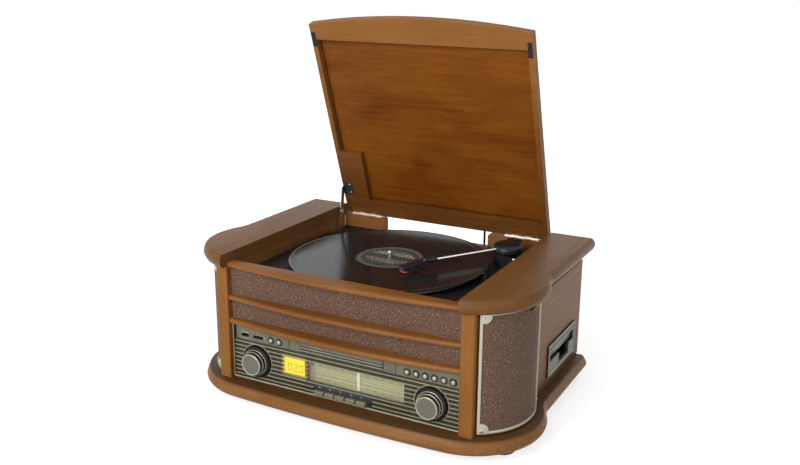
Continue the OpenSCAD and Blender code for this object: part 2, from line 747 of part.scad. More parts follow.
pulley_x = spindle_x + 80 * cos(135);
pulley_y = spindle_y + 80 * sin(135);

module deck_plate() {
    color("black") difference() {
        union() {
            box([seat - well_half, panel_y + 5.2, deck_z - deck_t], [well_half - seat, rear_y - board_t - seat,
                deck_z]);
            translate([spindle_x, spindle_y, deck_z - 18]) cylinder(r = 9, h = 18);
            // arm rest: a post with a shelf under the tube, open towards the record
            translate([146, 6, deck_z - 0.1]) cylinder(r = 3.5, h = 18);
            box([142, 3, deck_z + 17.9], [rest_clip_x - seat, 9, arm_z - arm_r - 0.4]);
        }
        translate([spindle_x, spindle_y, deck_z - 20]) cylinder(r = spindle_r + run, h = 40);
        translate([pulley_x, pulley_y, deck_z - 10]) cylinder(r = 8, h = 20);
        box([-well_half - 1, 112, deck_z - 10], [-well_half + 11, rear_y - board_t - 2, deck_z + 1]);
        translate([arm_x, arm_y, deck_z - 10]) cylinder(r = 6, h = 20);
        box([switch_x - 2.4, switch_y - 8.5, deck_z - 10], [switch_x + 2.4, switch_y + 8.5, deck_z + 1]);
        // corners cleared for the pilasters
        both() box([well_half - 1.3, -300, deck_z - 10], [well_half + 9, pilaster_y + pilaster_d + slip,
            deck_z + 1]);
    }
    // clip of the arm rest, set against the outer end of its shelf
    color("black") box([rest_clip_x, 3, deck_z + 17.9 + seat], [rest_clip_x + 2.1, 9, arm_z + 3]);
}
switch_x = well_half - 26.5;
switch_y = -112;
arm_rest_x = 146.2;
rest_clip_x = arm_rest_x + arm_r + 0.5;

// Pressed platter: disc, outer rim, belt track and spindle in one
module platter() {
    h = platter_z - deck_z - 1.5;
    color("silver") translate([spindle_x, spindle_y, platter_z - h]) {
        rotate_extrude($fn = 128) polygon([[0, h - 3], [belt_r - 3, h - 3], [belt_r - 3, 0.6],
            [belt_r, 0.6], [belt_r, h - 3], [platter_r - 4, h - 3], [platter_r - 4, 0],
            [platter_r - 1.2, 0], [platter_r, 1.2], [platter_r, h - 1], [platter_r - 1, h], [0, h]]);
        translate([0, 0, -18]) cylinder(r = spindle_r, h = h + 18 + 12);
        translate([0, 0, h + 12]) cylinder(r1 = spindle_r, r2 = 1.5, h = 2);
    }
}

module slip_mat() {
    color("darkslategray") translate([spindle_x, spindle_y, platter_z]) difference() {
        cylinder(r = platter_r - 2, h = 1.4, $fn = 128);
        translate([0, 0, -1]) cylinder(r = spindle_r + 0.3, h = 5);
    }
}

// Record: rim bead, thin groove field and thicker label land, turned
module record() {
    z = platter_z + 1.4;
    color("black") translate([spindle_x, spindle_y, z]) rotate_extrude($fn = 180)
        polygon([[spindle_r + 0.12, 0], [50, 0], [52, 0.3], [record_r - 4, 0.3], [record_r - 2, 0],
            [record_r - 0.6, 0], [record_r, 0.7], [record_r, 1.5], [record_r - 0.6, 2.2],
            [record_r - 2, 2.2], [record_r - 4, 1.9], [52, 1.9], [50, 2.2], [spindle_r + 0.12, 2.2]]);
}

module drive_motor() {
    color("silver") translate([pulley_x, pulley_y, deck_z - deck_t - 26]) difference() {
        union() {
            cylinder(r = 16, h = 22);
            translate([0, 0, 22]) cylinder(r = 12, h = 4 - seat);
        }
        translate([0, 0, -1]) cylinder(r = 1 + run, h = 30);
    }
}

module motor_pulley() {
    color("gold") translate([pulley_x, pulley_y, 0]) {
        translate([0, 0, deck_z - deck_t - 26]) cylinder(r = 1, h = 31.5);
        translate([0, 0, deck_z + 1]) cylinder(r = pulley_r + 1, h = 0.8);
        translate([0, 0, deck_z + 1.6]) cylinder(r = pulley_r, h = 3.6);
        translate([0, 0, deck_z + 5.1]) cylinder(r = pulley_r + 0.8, h = 0.6);
    }
}

// Flat rubber belt round the platter's track and the pulley
module drive_belt() {
    g = slip;
    color("black") translate([0, 0, deck_z + 2.1]) linear_extrude(2.6) difference() {
        hull() {
            translate([spindle_x, spindle_y]) circle(r = belt_r + g + 0.7, $fn = 96);
            translate([pulley_x, pulley_y]) circle(r = pulley_r + g + 0.7, $fn = 24);
        }
        hull() {
            translate([spindle_x, spindle_y]) circle(r = belt_r + g, $fn = 96);
            translate([pulley_x, pulley_y]) circle(r = pulley_r + g, $fn = 24);
        }
    }
}

// ---- Tonearm ----

module tonearm_base() {
    z1 = 207.5;
    color("black") difference() {
        union() {
            translate([0, 0, deck_z + 0.05]) linear_extrude(z1 - deck_z) union() {
                translate([arm_x, arm_y]) circle(r = 15);
                translate([arm_x + 3, arm_y + 21]) circle(r = 15);
                translate([arm_x - 12, arm_y + 4]) square([30, 14]);
            }
            // hood behind the pivot
            box([arm_x - 8, arm_y + 30, z1 - 1], [arm_x + 14, arm_y + 35.5, 221]);
            translate([arm_x, arm_y, deck_z - 8]) cylinder(r = 5.5, h = 10);
            // cheek and pin of the cue lever
            box([arm_x + 10, arm_y - 15.5, deck_z + 0.05], [arm_x + 18.7, arm_y - 8.5, 206.2]);
            translate([arm_x + 18, arm_y - 12, 203]) rotate([0, 90, 0]) cylinder(r = 1.2, h = 7.5);
        }
        translate([arm_x, arm_y, deck_z - 10]) cylinder(r = 2.5 + run, h = 60);
    }
}

module tonearm_pivot() {
    z0 = 207.5 + slip;
    color("dimgray") translate([arm_x, arm_y, 0]) rotate([0, 0, arm_a]) {
        translate([0, 0, deck_z - 4]) cylinder(r = 2.5, h = z0 - deck_z + 5);
        translate([0, 0, z0]) cylinder(r = 10, h = 2);
        for (s = [-1, 1]) difference() {
            box([-3.5, s * 8 - 1.1, z0 + 1], [3.5, s * 8 + 1.1, arm_z + 3.4]);
            translate([0, s * 8 - 3, arm_z]) rotate([-90, 0, 0]) cylinder(r = 1.2 + run, h = 6);
        }
    }
}

module tonearm() {
    color("silver") arm_pose() translate([0, 0, arm_z]) {
        rotate([0, 90, 0]) cylinder(r = arm_r, h = arm_l - 46);
        box([-6, -5.5, -4.5], [7, 5.5, 4.5]);
        translate([0, -9, 0]) rotate([-90, 0, 0]) cylinder(r = 1.2, h = 18);
        translate([-27, 0, 0]) rotate([0, 90, 0]) cylinder(r = 6.3, h = 16);
        translate([-12, 0, 0]) rotate([0, 90, 0]) cylinder(r = 2.2, h = 7);
    }
}

// Plastic headshell with its cartridge, sloping down to the record
module headshell() {
    color("black") arm_pose() difference() {
        union() {
            translate([arm_l - 56, 0, arm_z]) rotate([0, 90, 0]) cylinder(r = 4.2, h = 16);
            rotate([90, 0, 0]) translate([0, 0, -8]) linear_extrude(16)
                polygon([[arm_l - 42, arm_z - 3.5], [arm_l - 40, arm_z + 2.5], [arm_l + 2, arm_z - 3.6],
                    [arm_l + 4, arm_z - 6], [arm_l - 8, arm_z - 6], [arm_l - 38, arm_z - 4.5]]);
            box([arm_l - 26, -6, arm_z - 10.3], [arm_l - 5, 6, arm_z - 4.5]);
        }
        translate([arm_l - 57, 0, arm_z]) rotate([0, 90, 0]) cylinder(r = arm_r + run, h = 11.5);
    }
}

module stylus() {
    tip = platter_z + 1.4 + 2.2;
    color("red") arm_pose() {
        translate([0, 4, 0]) rotate([90, 0, 0]) linear_extrude(8)
            polygon([[arm_l - 20, arm_z - 10.3], [arm_l - 4.9, arm_z - 10.3], [arm_l + 1.5, arm_z - 9.2],
                [arm_l + 1.5, arm_z - 10.4], [arm_l - 2, tip + 1.2], [arm_l - 16, tip + 1.4]]);
        translate([arm_l - 3, 0, tip + 0.15]) cylinder(r1 = 0.2, r2 = 0.8, h = 1.6);
    }
}

module cue_lever() {
    color("silver") translate([arm_x + 22, arm_y - 12, 203]) difference() {
        union() {
            rotate([0, 90, 0]) translate([0, 0, -3]) cylinder(r = 3, h = 6);
            box([-2, -22, -1.3], [2, -1, 1.3]);
        }
        rotate([0, 90, 0]) translate([0, 0, -5]) cylinder(r = 1.2 + run, h = 10);
    }
}

module speed_switch() {
    color("silver") translate([switch_x, switch_y, deck_z + slip]) {
        cylinder(r = 5, h = 3);
        translate([0, 0, 2.9]) cylinder(r = 3, h = 5);
        translate([0, 0, -deck_t - 2]) cylinder(r = 2, h = deck_t + 2.5);
    }
}

// ---- Lid ----

// Lid outline, closed: rear edge on the hinge axis, front edge bowed
module lid_outline(inset) {
    intersection() {
        translate([-lid_half + inset, -lid_depth - lid_bow - 5]) square([2 * (lid_half - inset),
            lid_depth + lid_bow + 5 - inset]);
        translate([0, -lid_depth - lid_bow + lid_arc_r]) circle(r = lid_arc_r - inset, $fn = 720);
    }
}

function lid_ring(off) = let (w = lid_half - off, r = lid_arc_r - off, a = asin(w / r),
        yc = -lid_depth - lid_bow + lid_arc_r)
    concat([for (i = [0:16]) let (b = -90 - a + 2 * a * i / 16) [r * cos(b), yc + r * sin(b)]],
        [[w, -off], [-w, -off]]);

lid_front_t = 315.5;
lid_rear_t = 26;
module lid_frame() {
    color(wood) lid_pose() {
        translate([0, 0, lid_n]) linear_extrude(lid_rim_h) difference() {
            lid_outline(0);
            translate([-lid_half + lid_rim_w, -lid_front_t])
                square([2 * (lid_half - lid_rim_w), lid_front_t - lid_rear_t]);
        }
        // block in the corner that carries the stay
        box([-lid_half + lid_rim_w - 0.1, -118, lid_n + 0.2], [stay_x + 45, -lid_rear_t + 0.1, lid_n + lid_rim_h]);
    }
}

module lid_panel() {
    t = lid_panel_t;
    z = lid_n + lid_rim_h;
    color(wood) lid_pose() loft([at_z(lid_ring(0), z), at_z(lid_ring(0), z + t - 3),
        at_z(lid_ring(0.9), z + t - 0.9), at_z(lid_ring(3), z + t)]);
}

module lid_pads() {
    color("midnightblue") lid_pose() both()
        box([lid_half - lid_rim_w, -327, lid_n - 1], [lid_half - 1.5, -304.5, lid_n]);
}

// One hinge knuckle of a given length, bored for the pin
module knuckle(x, l) {
    translate([x, 0, 0]) rotate([0, 90, 0]) difference() {
        cylinder(r = knuckle_r, h = l);
        translate([0, 0, -1]) cylinder(r = hinge_pin_r + run, h = l + 2);
    }
}

stay_t = 48;
stay_n = lid_n - 6;
stay_x = -well_half + 6.5;

// Lid halves of the hinges, and the bracket of the stay
module lid_fittings() {
    k = hinge_l / 5;
    color("goldenrod") lid_pose() {
        for (x = hinge_places) {
            difference() {
                box([x - hinge_l / 2, -12, lid_n - 1.2], [x + hinge_l / 2, 0, lid_n]);
                for (i = [0, 2, 4]) box([x - hinge_l / 2 + i * k - slip, -knuckle_r - slip, -5],
                    [x - hinge_l / 2 + (i + 1) * k + slip, 5, 5]);
            }
            for (i = [1, 3]) knuckle(x - hinge_l / 2 + i * k + slip / 2, k - slip);
        }
        box([stay_x + 1, -stay_t - 12, lid_n - 1], [stay_x + 16, -stay_t + 12, lid_n]);
        box([stay_x + 1, -stay_t - 6, stay_n - 4], [stay_x + 2.5, -stay_t + 6, lid_n]);
        translate([stay_x - 1.8, -stay_t, stay_n]) rotate([0, 90, 0]) cylinder(r = 1.5, h = 4);
    }
}

module hinge_leaves() {
    k = hinge_l / 5;
    color("goldenrod") {
        translate([0, hinge_y, hinge_z]) for (x = hinge_places) {
            difference() {
                box([x - hinge_l / 2, -knuckle_r, -knuckle_r], [x + hinge_l / 2, rear_y - hinge_y - 1, -knuckle_r + 1.2]);
                for (i = [1, 3]) box([x - hinge_l / 2 + i * k - slip, -5, -5],
                    [x - hinge_l / 2 + (i + 1) * k + slip, knuckle_r + slip, 5]);
            }
            for (i = [0, 2, 4]) knuckle(x - hinge_l / 2 + i * k, k);
            translate([x - hinge_l / 2 - 0.5, 0, 0]) rotate([0, 90, 0]) cylinder(r = hinge_pin_r, h = hinge_l + 1);
        }
        // pin that the slotted stay slides on, in a plate on the well's side
        translate([-well_half, pin_y, pin_z]) rotate([0, 90, 0]) cylinder(r = 1.5, h = 9);
        translate([-well_half + 0.1, pin_y, pin_z]) rotate([0, 90, 0]) cylinder(r = 6, h = 1.5);
        translate([-well_half + 8, pin_y, pin_z]) rotate([0, 90, 0]) cylinder(r = 4, h = 1);
    }
}
pin_y = 139;
pin_z = 176;

// Place of the stay's pivot in the cabinet's frame when the lid is open
stay_py = hinge_y - stay_t * cos(lid_open) + stay_n * sin(lid_open);
stay_pz = hinge_z + stay_t * sin(lid_open) + stay_n * cos(lid_open);
stay_a = atan2(pin_z - stay_pz, pin_y - stay_py);
stay_d0 = norm([pin_y - stay_py, pin_z - stay_pz]);
stay_d1 = norm([pin_y - hinge_y + stay_t, pin_z - hinge_z - stay_n]);

// Slotted strip from the lid's bracket down to the pin in the well
module stay_arm() {
    w = 4.5;
    h = 2.3;
    color("silver") translate([stay_x - 0.9, stay_py, stay_pz]) rotate([stay_a, 0, 0])
        rotate([90, 0, 90]) linear_extrude(1.5) difference() {
            polygon(concat(arc(0, 0, w, 90, 270, 8), arc(stay_d0 + 4, 0, w, -90, 90, 8)));
            circle(r = 1.5 + 0.1);
            polygon(concat(arc(stay_d1 - 1, 0, h, 90, 270, 6), arc(stay_d0 + 0.2, 0, h, -90, 90, 6)));
        }
}

base_plinth();
feet();
side_panels();
pilasters();
side_caps();
back_board();
rear_sockets();
aerial();
front_board();
front_rails();
speaker_baffles();
grille_cloths();
grille_frames();
speaker_drivers();
control_panel();
lcd_display();
dial_glass();
dial_scale();
circuit_boards();
cd_mechanism();
cassette_bezel();
cassette_mechanism();
deck_plate();
drive_motor();
drive_belt();
tonearm_base();
hinge_leaves();
lid_frame();
lid_panel();
lid_pads();
lid_fittings();
stay_arm();
platter();
slip_mat();
record();
motor_pulley();
tonearm_pivot();
tonearm();
headshell();
stylus();
cue_lever();
speed_switch();
volume_knob();
tuning_knob();
dial_pointer();
cd_drawer();
cassette_flap();
key_1();
key_2();
key_3();
key_4();
key_5();
button_1();
button_2();
button_3();
button_4();
button_5();
button_6();
button_7();
button_8();
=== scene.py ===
"""Looks of a wooden stereo music centre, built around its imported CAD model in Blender 4.5."""
import math

import bpy
import numpy as np
from mathutils import Matrix, Vector


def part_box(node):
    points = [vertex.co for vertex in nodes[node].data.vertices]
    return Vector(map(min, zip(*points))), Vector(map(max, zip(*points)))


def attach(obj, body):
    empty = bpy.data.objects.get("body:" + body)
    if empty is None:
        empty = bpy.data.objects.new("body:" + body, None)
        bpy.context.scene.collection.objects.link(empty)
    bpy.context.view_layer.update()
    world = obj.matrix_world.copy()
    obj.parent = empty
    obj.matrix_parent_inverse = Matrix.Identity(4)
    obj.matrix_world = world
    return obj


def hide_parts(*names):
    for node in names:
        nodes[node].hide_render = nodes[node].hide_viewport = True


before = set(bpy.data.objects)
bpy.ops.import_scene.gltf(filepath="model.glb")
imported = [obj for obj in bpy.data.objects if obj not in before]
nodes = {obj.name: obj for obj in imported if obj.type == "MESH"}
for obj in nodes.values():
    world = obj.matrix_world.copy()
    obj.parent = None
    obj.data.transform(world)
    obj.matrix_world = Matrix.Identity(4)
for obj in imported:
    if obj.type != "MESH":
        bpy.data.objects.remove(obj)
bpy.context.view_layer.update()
MM = 0.001

# ---- Camera ----
# The photograph is taken from the right and a little above, with a long-ish lens, standing level.
EYE = Vector((0.6269, -1.1561, 0.6258))
YAW, PITCH, ROLL = math.radians(27.9), math.radians(-15.84), math.radians(0.43)
LENS = 36 * 931.8 / 800
SHIFT = (-0.0025, -0.0065)

ahead = Vector((-math.sin(YAW) * math.cos(PITCH), math.cos(YAW) * math.cos(PITCH), math.sin(PITCH)))
level = Vector((math.cos(YAW), math.sin(YAW), 0))
above = level.cross(ahead)
right = level * math.cos(ROLL) + above * math.sin(ROLL)
up = above * math.cos(ROLL) - level * math.sin(ROLL)
camera = bpy.data.objects.new("camera", bpy.data.cameras.new("camera"))
camera.data.lens = LENS
camera.data.sensor_width = 36
camera.data.shift_x, camera.data.shift_y = SHIFT
camera.matrix_world = Matrix.Translation(EYE) @ Matrix((right, up, -ahead)).transposed().to_4x4()
bpy.context.scene.collection.objects.link(camera)
bpy.context.scene.camera = camera
bpy.context.scene.view_settings.view_transform = "Standard"


# ---- Studio ----
# A white table that runs on behind, a white room, and three large soft lamps. What the camera, metal and
# glass see of table and room is plain white; the table still takes the cabinet's shadow.
def tree_node(tree, kind, **values):
    """A shader node of a kind, its named inputs set to numbers or joined to other nodes' outputs."""
    made = tree.nodes.new(kind)
    for name, value in values.items():
        if hasattr(made, name) and name not in made.inputs:
            setattr(made, name, value)
            continue
        plug = made.inputs[int(name[1:])] if name[0] == "i" and name[1:].isdigit() else made.inputs[name]
        if isinstance(value, bpy.types.NodeSocket):
            tree.links.new(value, plug)
        else:
            plug.default_value = value
    return made


def sum_of(tree, kind, first, second=0.0, third=0.0):
    """One step of arithmetic on numbers or outputs; returns the result's output."""
    return tree_node(tree, "ShaderNodeMath", operation=kind, i0=first, i1=second, i2=third).outputs[0]


def ramp(tree, value, low, high, at_low=0.0, at_high=1.0):
    """A value carried from low..high to at_low..at_high, and held beyond them."""
    return tree_node(tree, "ShaderNodeMapRange", i0=value, i1=low, i2=high, i3=at_low, i4=at_high).outputs[0]


def seen_plain(tree):
    """1 for rays of the camera, and for rays that come by metal or glass."""
    path = tree_node(tree, "ShaderNodeLightPath")
    shiny = sum_of(tree, "MAXIMUM", path.outputs["Is Camera Ray"], path.outputs["Is Glossy Ray"])
    return sum_of(tree, "MAXIMUM", shiny, path.outputs["Is Transmission Ray"])


room = bpy.data.worlds.new("room")
room.use_nodes = True
room.node_tree.nodes.clear()
strength = sum_of(room.node_tree, "MULTIPLY_ADD", seen_plain(room.node_tree), 0.76, 0.24)
background = tree_node(room.node_tree, "ShaderNodeBackground", Color=(1, 1, 1, 1), Strength=strength)
tree_node(room.node_tree, "ShaderNodeOutputWorld", Surface=background.outputs[0])
bpy.context.scene.world = room

TABLE_REACH = 6.0
bpy.ops.mesh.primitive_grid_add(x_subdivisions=2, y_subdivisions=2, size=2 * TABLE_REACH)
table = bpy.context.object
table.name = "table_top"
paper = bpy.data.materials.new("white_table")
paper.use_nodes = True
paper.node_tree.nodes.clear()
matt = tree_node(paper.node_tree, "ShaderNodeBsdfDiffuse", Color=(0.62, 0.62, 0.62, 1))
table_place = tree_node(paper.node_tree, "ShaderNodeTexCoord").outputs["Object"]
from_middle = tree_node(paper.node_tree, "ShaderNodeVectorMath", operation="LENGTH",
                        i0=table_place).outputs["Value"]
far_white = ramp(paper.node_tree, from_middle, 0.3, 0.8, 0.74, 1.0)
shine = tree_node(paper.node_tree, "ShaderNodeEmission", Color=(1, 1, 1, 1),
                  Strength=sum_of(paper.node_tree, "MULTIPLY", seen_plain(paper.node_tree), far_white))
both_parts = tree_node(paper.node_tree, "ShaderNodeAddShader", i0=matt.outputs[0], i1=shine.outputs[0])
tree_node(paper.node_tree, "ShaderNodeOutputMaterial", Surface=both_parts.outputs[0])
table.data.materials.append(paper)


def soft_lamp(name, place, aim, size, watts):
    """A square soft box at a place, facing a point."""
    lamp = bpy.data.lights.new(name, "AREA")
    lamp.size, lamp.energy = size, watts
    holder = bpy.data.objects.new(name, lamp)
    holder.location = place
    holder.rotation_euler = (Vector(aim) - Vector(place)).to_track_quat("-Z", "Y").to_euler()
    bpy.context.scene.collection.objects.link(holder)


soft_lamp("front_box", (-0.2, -2.2, 1.15), (0, 0, 0.2), 1.4, 42)
soft_lamp("right_box", (2.1, -0.5, 1.0), (0, 0, 0.15), 1.0, 6)
soft_lamp("top_box", (0.0, 0.1, 2.2), (0, 0, 0), 1.6, 3)


# ---- Base board ----
# A thick board of stained beech: its edge is rounded over, its front corners are round lobes that a hollow
# curve joins to the straight sides, and its front bows out a little.
def arc(centre, radius, start, end, count):
    """Points on a circle round centre, from angle start to angle end in degrees."""
    turn = np.radians(np.linspace(start, end, count))
    return np.stack([centre[0] + radius * np.cos(turn), centre[1] + radius * np.sin(turn)], 1)


def sheet(rings, closed=True, ends=True, loop=False):
    """Points, quads and end faces of a surface through rings (rings x points x 3): neighbours are joined by
    quads, and each end gets a flat face. With loop, the last ring joins the first instead."""
    rings = np.asarray(rings, float)
    rows, count = rings.shape[:2]
    step = np.arange(count if closed else count - 1)
    after = (step + 1) % count
    row = np.arange(rows if loop else rows - 1)[:, None]
    low, high = row * count, (row + 1) % rows * count
    quads = np.stack([low + step, low + after, high + after, high + step], -1).reshape(-1, 4)
    lids = [np.arange(count)[::-1], (rows - 1) * count + np.arange(count)] if ends and not loop else []
    return rings.reshape(-1, 3), quads, lids


def piece(name, sheets, sharp=35):
    """One mesh of one or more sheets. Edges that turn more than sharp degrees stay crisp."""
    points, faces, start = [], [], 0
    for spots, quads, lids in sheets:
        points.append(spots)
        faces += (quads + start).tolist() + [(lid + start).tolist() for lid in lids]
        start += len(spots)
    mesh = bpy.data.meshes.new(name)
    mesh.from_pydata(np.concatenate(points).tolist(), [], faces)
    mesh.polygons.foreach_set("use_smooth", np.ones(len(faces), bool))
    mesh.set_sharp_from_angle(angle=math.radians(sharp))
    made = bpy.data.objects.new(name, mesh)
    bpy.context.scene.collection.objects.link(made)
    return made


def fit(made, body, *materials, instead_of=()):
    """Gives a piece its materials, rides it on a body and lets it stand in for CAD nodes."""
    for material in materials:
        made.data.materials.append(material)
    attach(made, body)
    for node in instead_of:
        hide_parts(node)
    return made


def at_height(outline, z):
    """A flat outline lifted to a height."""
    return np.column_stack([outline, np.full(len(outline), z)])


base_low, base_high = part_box("base_plinth")
LOBE = (0.1635, -0.073)
BASE_LOBE_R = base_high.x - LOBE[0]
BASE_SIDE = 0.2525
BASE_FRONT = base_low.y + 0.006
REAR = base_high.y
HOLLOW_R = 0.06
REAR_CORNER = 0.006


def base_outline(inset):
    """The board's outline drawn in by inset: a wide front arc that leaves the lobe circles without a kink,
    the lobes, the hollow curves, straight sides and small rear corners, mirrored in x."""
    r, side = BASE_LOBE_R - inset, BASE_SIDE - inset
    k = LOBE[1] - BASE_FRONT - inset
    wide = (r * r - k * k - LOBE[0] ** 2) / (2 * (r - k))
    middle = BASE_FRONT + inset + wide
    meet = math.degrees(math.atan2(LOBE[1] - middle, LOBE[0]))
    hollow = HOLLOW_R + inset
    leave = math.degrees(math.acos((side + hollow - LOBE[0]) / (r + hollow)))
    hollow_y = LOBE[1] + (r + hollow) * math.sin(math.radians(leave))
    half = np.concatenate([
        arc((0, middle), wide, -90, meet, 40), arc(LOBE, r, meet, leave, 90)[1:],
        arc((side + hollow, hollow_y), hollow, 180 + leave, 180, 20)[1:],
        arc((side - REAR_CORNER, REAR - inset - REAR_CORNER), REAR_CORNER, 0, 90, 7)])
    other = half[:0:-1] * (-1, 1)
    return np.concatenate([half, other])


def fresh_group(name, inputs, outputs):
    """A new shader node group with the given sockets; returns it and its input node."""
    group = bpy.data.node_groups.new(name, "ShaderNodeTree")
    for way, sockets in (("INPUT", inputs), ("OUTPUT", outputs)):
        for label, kind in sockets.items():
            group.interface.new_socket(label, in_out=way, socket_type="NodeSocket" + kind)
    return group, tree_node(group, "NodeGroupInput")


def veneer_group():
    """Stained wood: long streaks and slow clouds of stain mix two tones, and short dark pores lie in them."""
    group, given = fresh_group("stained_wood", {"Place": "Vector", "Light": "Color", "Dark": "Color",
                                                "Cloud": "Float"},
                               {"Colour": "Color", "Roughness": "Float", "Height": "Float"})
    place = given.outputs["Place"]
    streak = tree_node(group, "ShaderNodeMapping", Vector=place, Scale=(9, 210, 210))
    streaks = tree_node(group, "ShaderNodeTexNoise", Vector=streak.outputs[0], Scale=1.0, Detail=5.0,
                        Roughness=0.6, Distortion=0.3)
    cloud = tree_node(group, "ShaderNodeMapping", Vector=place, Scale=(7, 15, 15))
    clouds = tree_node(group, "ShaderNodeTexNoise", Vector=cloud.outputs[0], Scale=1.0, Detail=3.0,
                       Roughness=0.5, Distortion=0.8)
    pore = tree_node(group, "ShaderNodeMapping", Vector=place, Scale=(150, 1900, 1900))
    pores = tree_node(group, "ShaderNodeTexNoise", Vector=pore.outputs[0], Scale=1.0, Detail=2.0)
    mix = tree_node(group, "ShaderNodeMix", data_type="FLOAT", i0=given.outputs["Cloud"],
                    i2=streaks.outputs["Fac"], i3=clouds.outputs["Fac"])
    tone = tree_node(group, "ShaderNodeMix", data_type="RGBA", i0=ramp(group, mix.outputs[0], 0.3, 0.7),
                     i6=given.outputs["Dark"], i7=given.outputs["Light"])
    sink = ramp(group, pores.outputs["Fac"], 0.34, 0.46, 0.7, 1.0)
    pored = tree_node(group, "ShaderNodeMix", data_type="RGBA", blend_type="MULTIPLY", i0=0.45,
                      i6=tone.outputs[2])
    group.links.new(sink, pored.inputs[7])
    tree_node(group, "NodeGroupOutput", Colour=pored.outputs[2], Height=sink,
              Roughness=ramp(group, streaks.outputs["Fac"], 0.3, 0.7, 0.48, 0.38))
    return group


VENEER = veneer_group()


def plain_material(name, colour, roughness, **more):
    """A new material with one Principled shader; returns the material, its tree and the shader."""
    made = bpy.data.materials.new(name)
    made.use_nodes = True
    tree = made.node_tree
    shader = tree.nodes["Principled BSDF"]
    shader.inputs["Base Color"].default_value = (*colour, 1)
    shader.inputs["Roughness"].default_value = roughness
    for key, value in more.items():
        shader.inputs[key.replace("_", " ")].default_value = value
    return made, tree, shader


def object_place(tree, turn=(0, 0, 0), move=(0, 0, 0)):
    """Object coordinates, turned and moved."""
    where = tree_node(tree, "ShaderNodeTexCoord")
    return tree_node(tree, "ShaderNodeMapping", Vector=where.outputs["Object"], Rotation=turn,
                     Location=move).outputs[0]


def place_parts(tree):
    """The three Object coordinates, in metres."""
    return tree_node(tree, "ShaderNodeSeparateXYZ", Vector=object_place(tree)).outputs[:3]


def shade(tree, factor, first, second, how="MIX"):
    """A colour between two colours or outputs."""
    mix = tree_node(tree, "ShaderNodeMix", data_type="RGBA", blend_type=how, i0=factor)
    for index, value in ((6, first), (7, second)):
        if isinstance(value, bpy.types.NodeSocket):
            tree.links.new(value, mix.inputs[index])
        else:
            mix.inputs[index].default_value = (*value, 1)
    return mix.outputs[2]


def veneered(tree, shader, turn, cloud, depth):
    """Puts the stained wood on a material's colour, gloss and surface; returns its group node."""
    grain = tree_node(tree, "ShaderNodeGroup", node_tree=VENEER, Cloud=cloud)
    tree.links.new(object_place(tree, turn), grain.inputs["Place"])
    tree.links.new(grain.outputs["Colour"], shader.inputs["Base Color"])
    tree.links.new(grain.outputs["Roughness"], shader.inputs["Roughness"])
    bump = tree_node(tree, "ShaderNodeBump", Strength=depth, Distance=0.0003, Height=grain.outputs["Height"])
    tree.links.new(bump.outputs[0], shader.inputs["Normal"])
    return grain


def wood(name, light, dark, cloud, turn=(0, 0, 0), coat=0.04, bump_depth=0.12):
    """Satin lacquered stained wood whose grain runs along x before the turn."""
    made, tree, shader = plain_material(name, light, 0.4, Coat_Weight=coat, Coat_Roughness=0.3,
                                        Specular_IOR_Level=0.12)
    grain = veneered(tree, shader, turn, cloud, bump_depth)
    grain.inputs["Light"].default_value = (*light, 1)
    grain.inputs["Dark"].default_value = (*dark, 1)
    return made


def painted_shade_by(made, share):
    """Paints shade on a material: multiplies its colour by an output of its own tree."""
    tree = made.node_tree
    colour = tree.nodes["Principled BSDF"].inputs["Base Color"]
    tree.links.new(shade(tree, 1.0, colour.links[0].from_socket, share, "MULTIPLY"), colour)
    return made


def painted_height_shade(made, low, high, at_low, at_high):
    """Paints shade that changes with height: multiplies a material's colour by a share that runs from at_low
    to at_high between two heights.
    """
    height = place_parts(made.node_tree)[2]
    return painted_shade_by(made, ramp(made.node_tree, height, low, high, at_low, at_high))


def dress(material, *names):
    """Gives CAD nodes one material."""
    for name in names:
        nodes[name].data.materials.clear()
        nodes[name].data.materials.append(material)


ALONG_X = (0, 0, 0)
ALONG_Y = (0, 0, math.radians(90))
ALONG_Z = (0, math.radians(90), 0)
STAIN_LIGHT, STAIN_DARK = (0.31, 0.132, 0.036), (0.215, 0.082, 0.02)
board_wood = wood("stained_wood_x", STAIN_LIGHT, STAIN_DARK, 0.5, ALONG_X)
base_wood = wood("base_wood", (0.32, 0.15, 0.047), STAIN_DARK, 0.5, ALONG_X)
# Painted shade: the base board's colour darkens over its top, from full at 32.5 mm to 0.36 at the top face
# (36.3 mm).
painted_height_shade(base_wood, 0.0325, 0.0363, 1.0, 0.36)
# Painted shade: the side panels darken towards their foot, from full colour at 100 mm down to 0.45 at 37 mm.
side_wood = painted_height_shade(wood("stained_wood_y", (0.29, 0.135, 0.042), (0.2, 0.085, 0.025), 0.5, ALONG_Y),
                     0.037, 0.1, 0.45, 1.0)

# inset from the widest line against height, from the underside to the top
BASE_EDGE_MM = ((6.6, 14.8), (5.2, 15.1), (3.0, 16.6), (1.3, 18.8), (0.4, 21.0), (0.0, 23.0), (0.3, 24.6),
                (1.3, 28.0), (2.8, 31.6), (4.0, 34.6), (4.9, 36.1), (5.9, 36.5))
fit(piece("base_board_skin", [sheet([at_height(base_outline(i * MM), z * MM) for i, z in BASE_EDGE_MM])]),
    "cabinet", base_wood, instead_of=["base_plinth"])


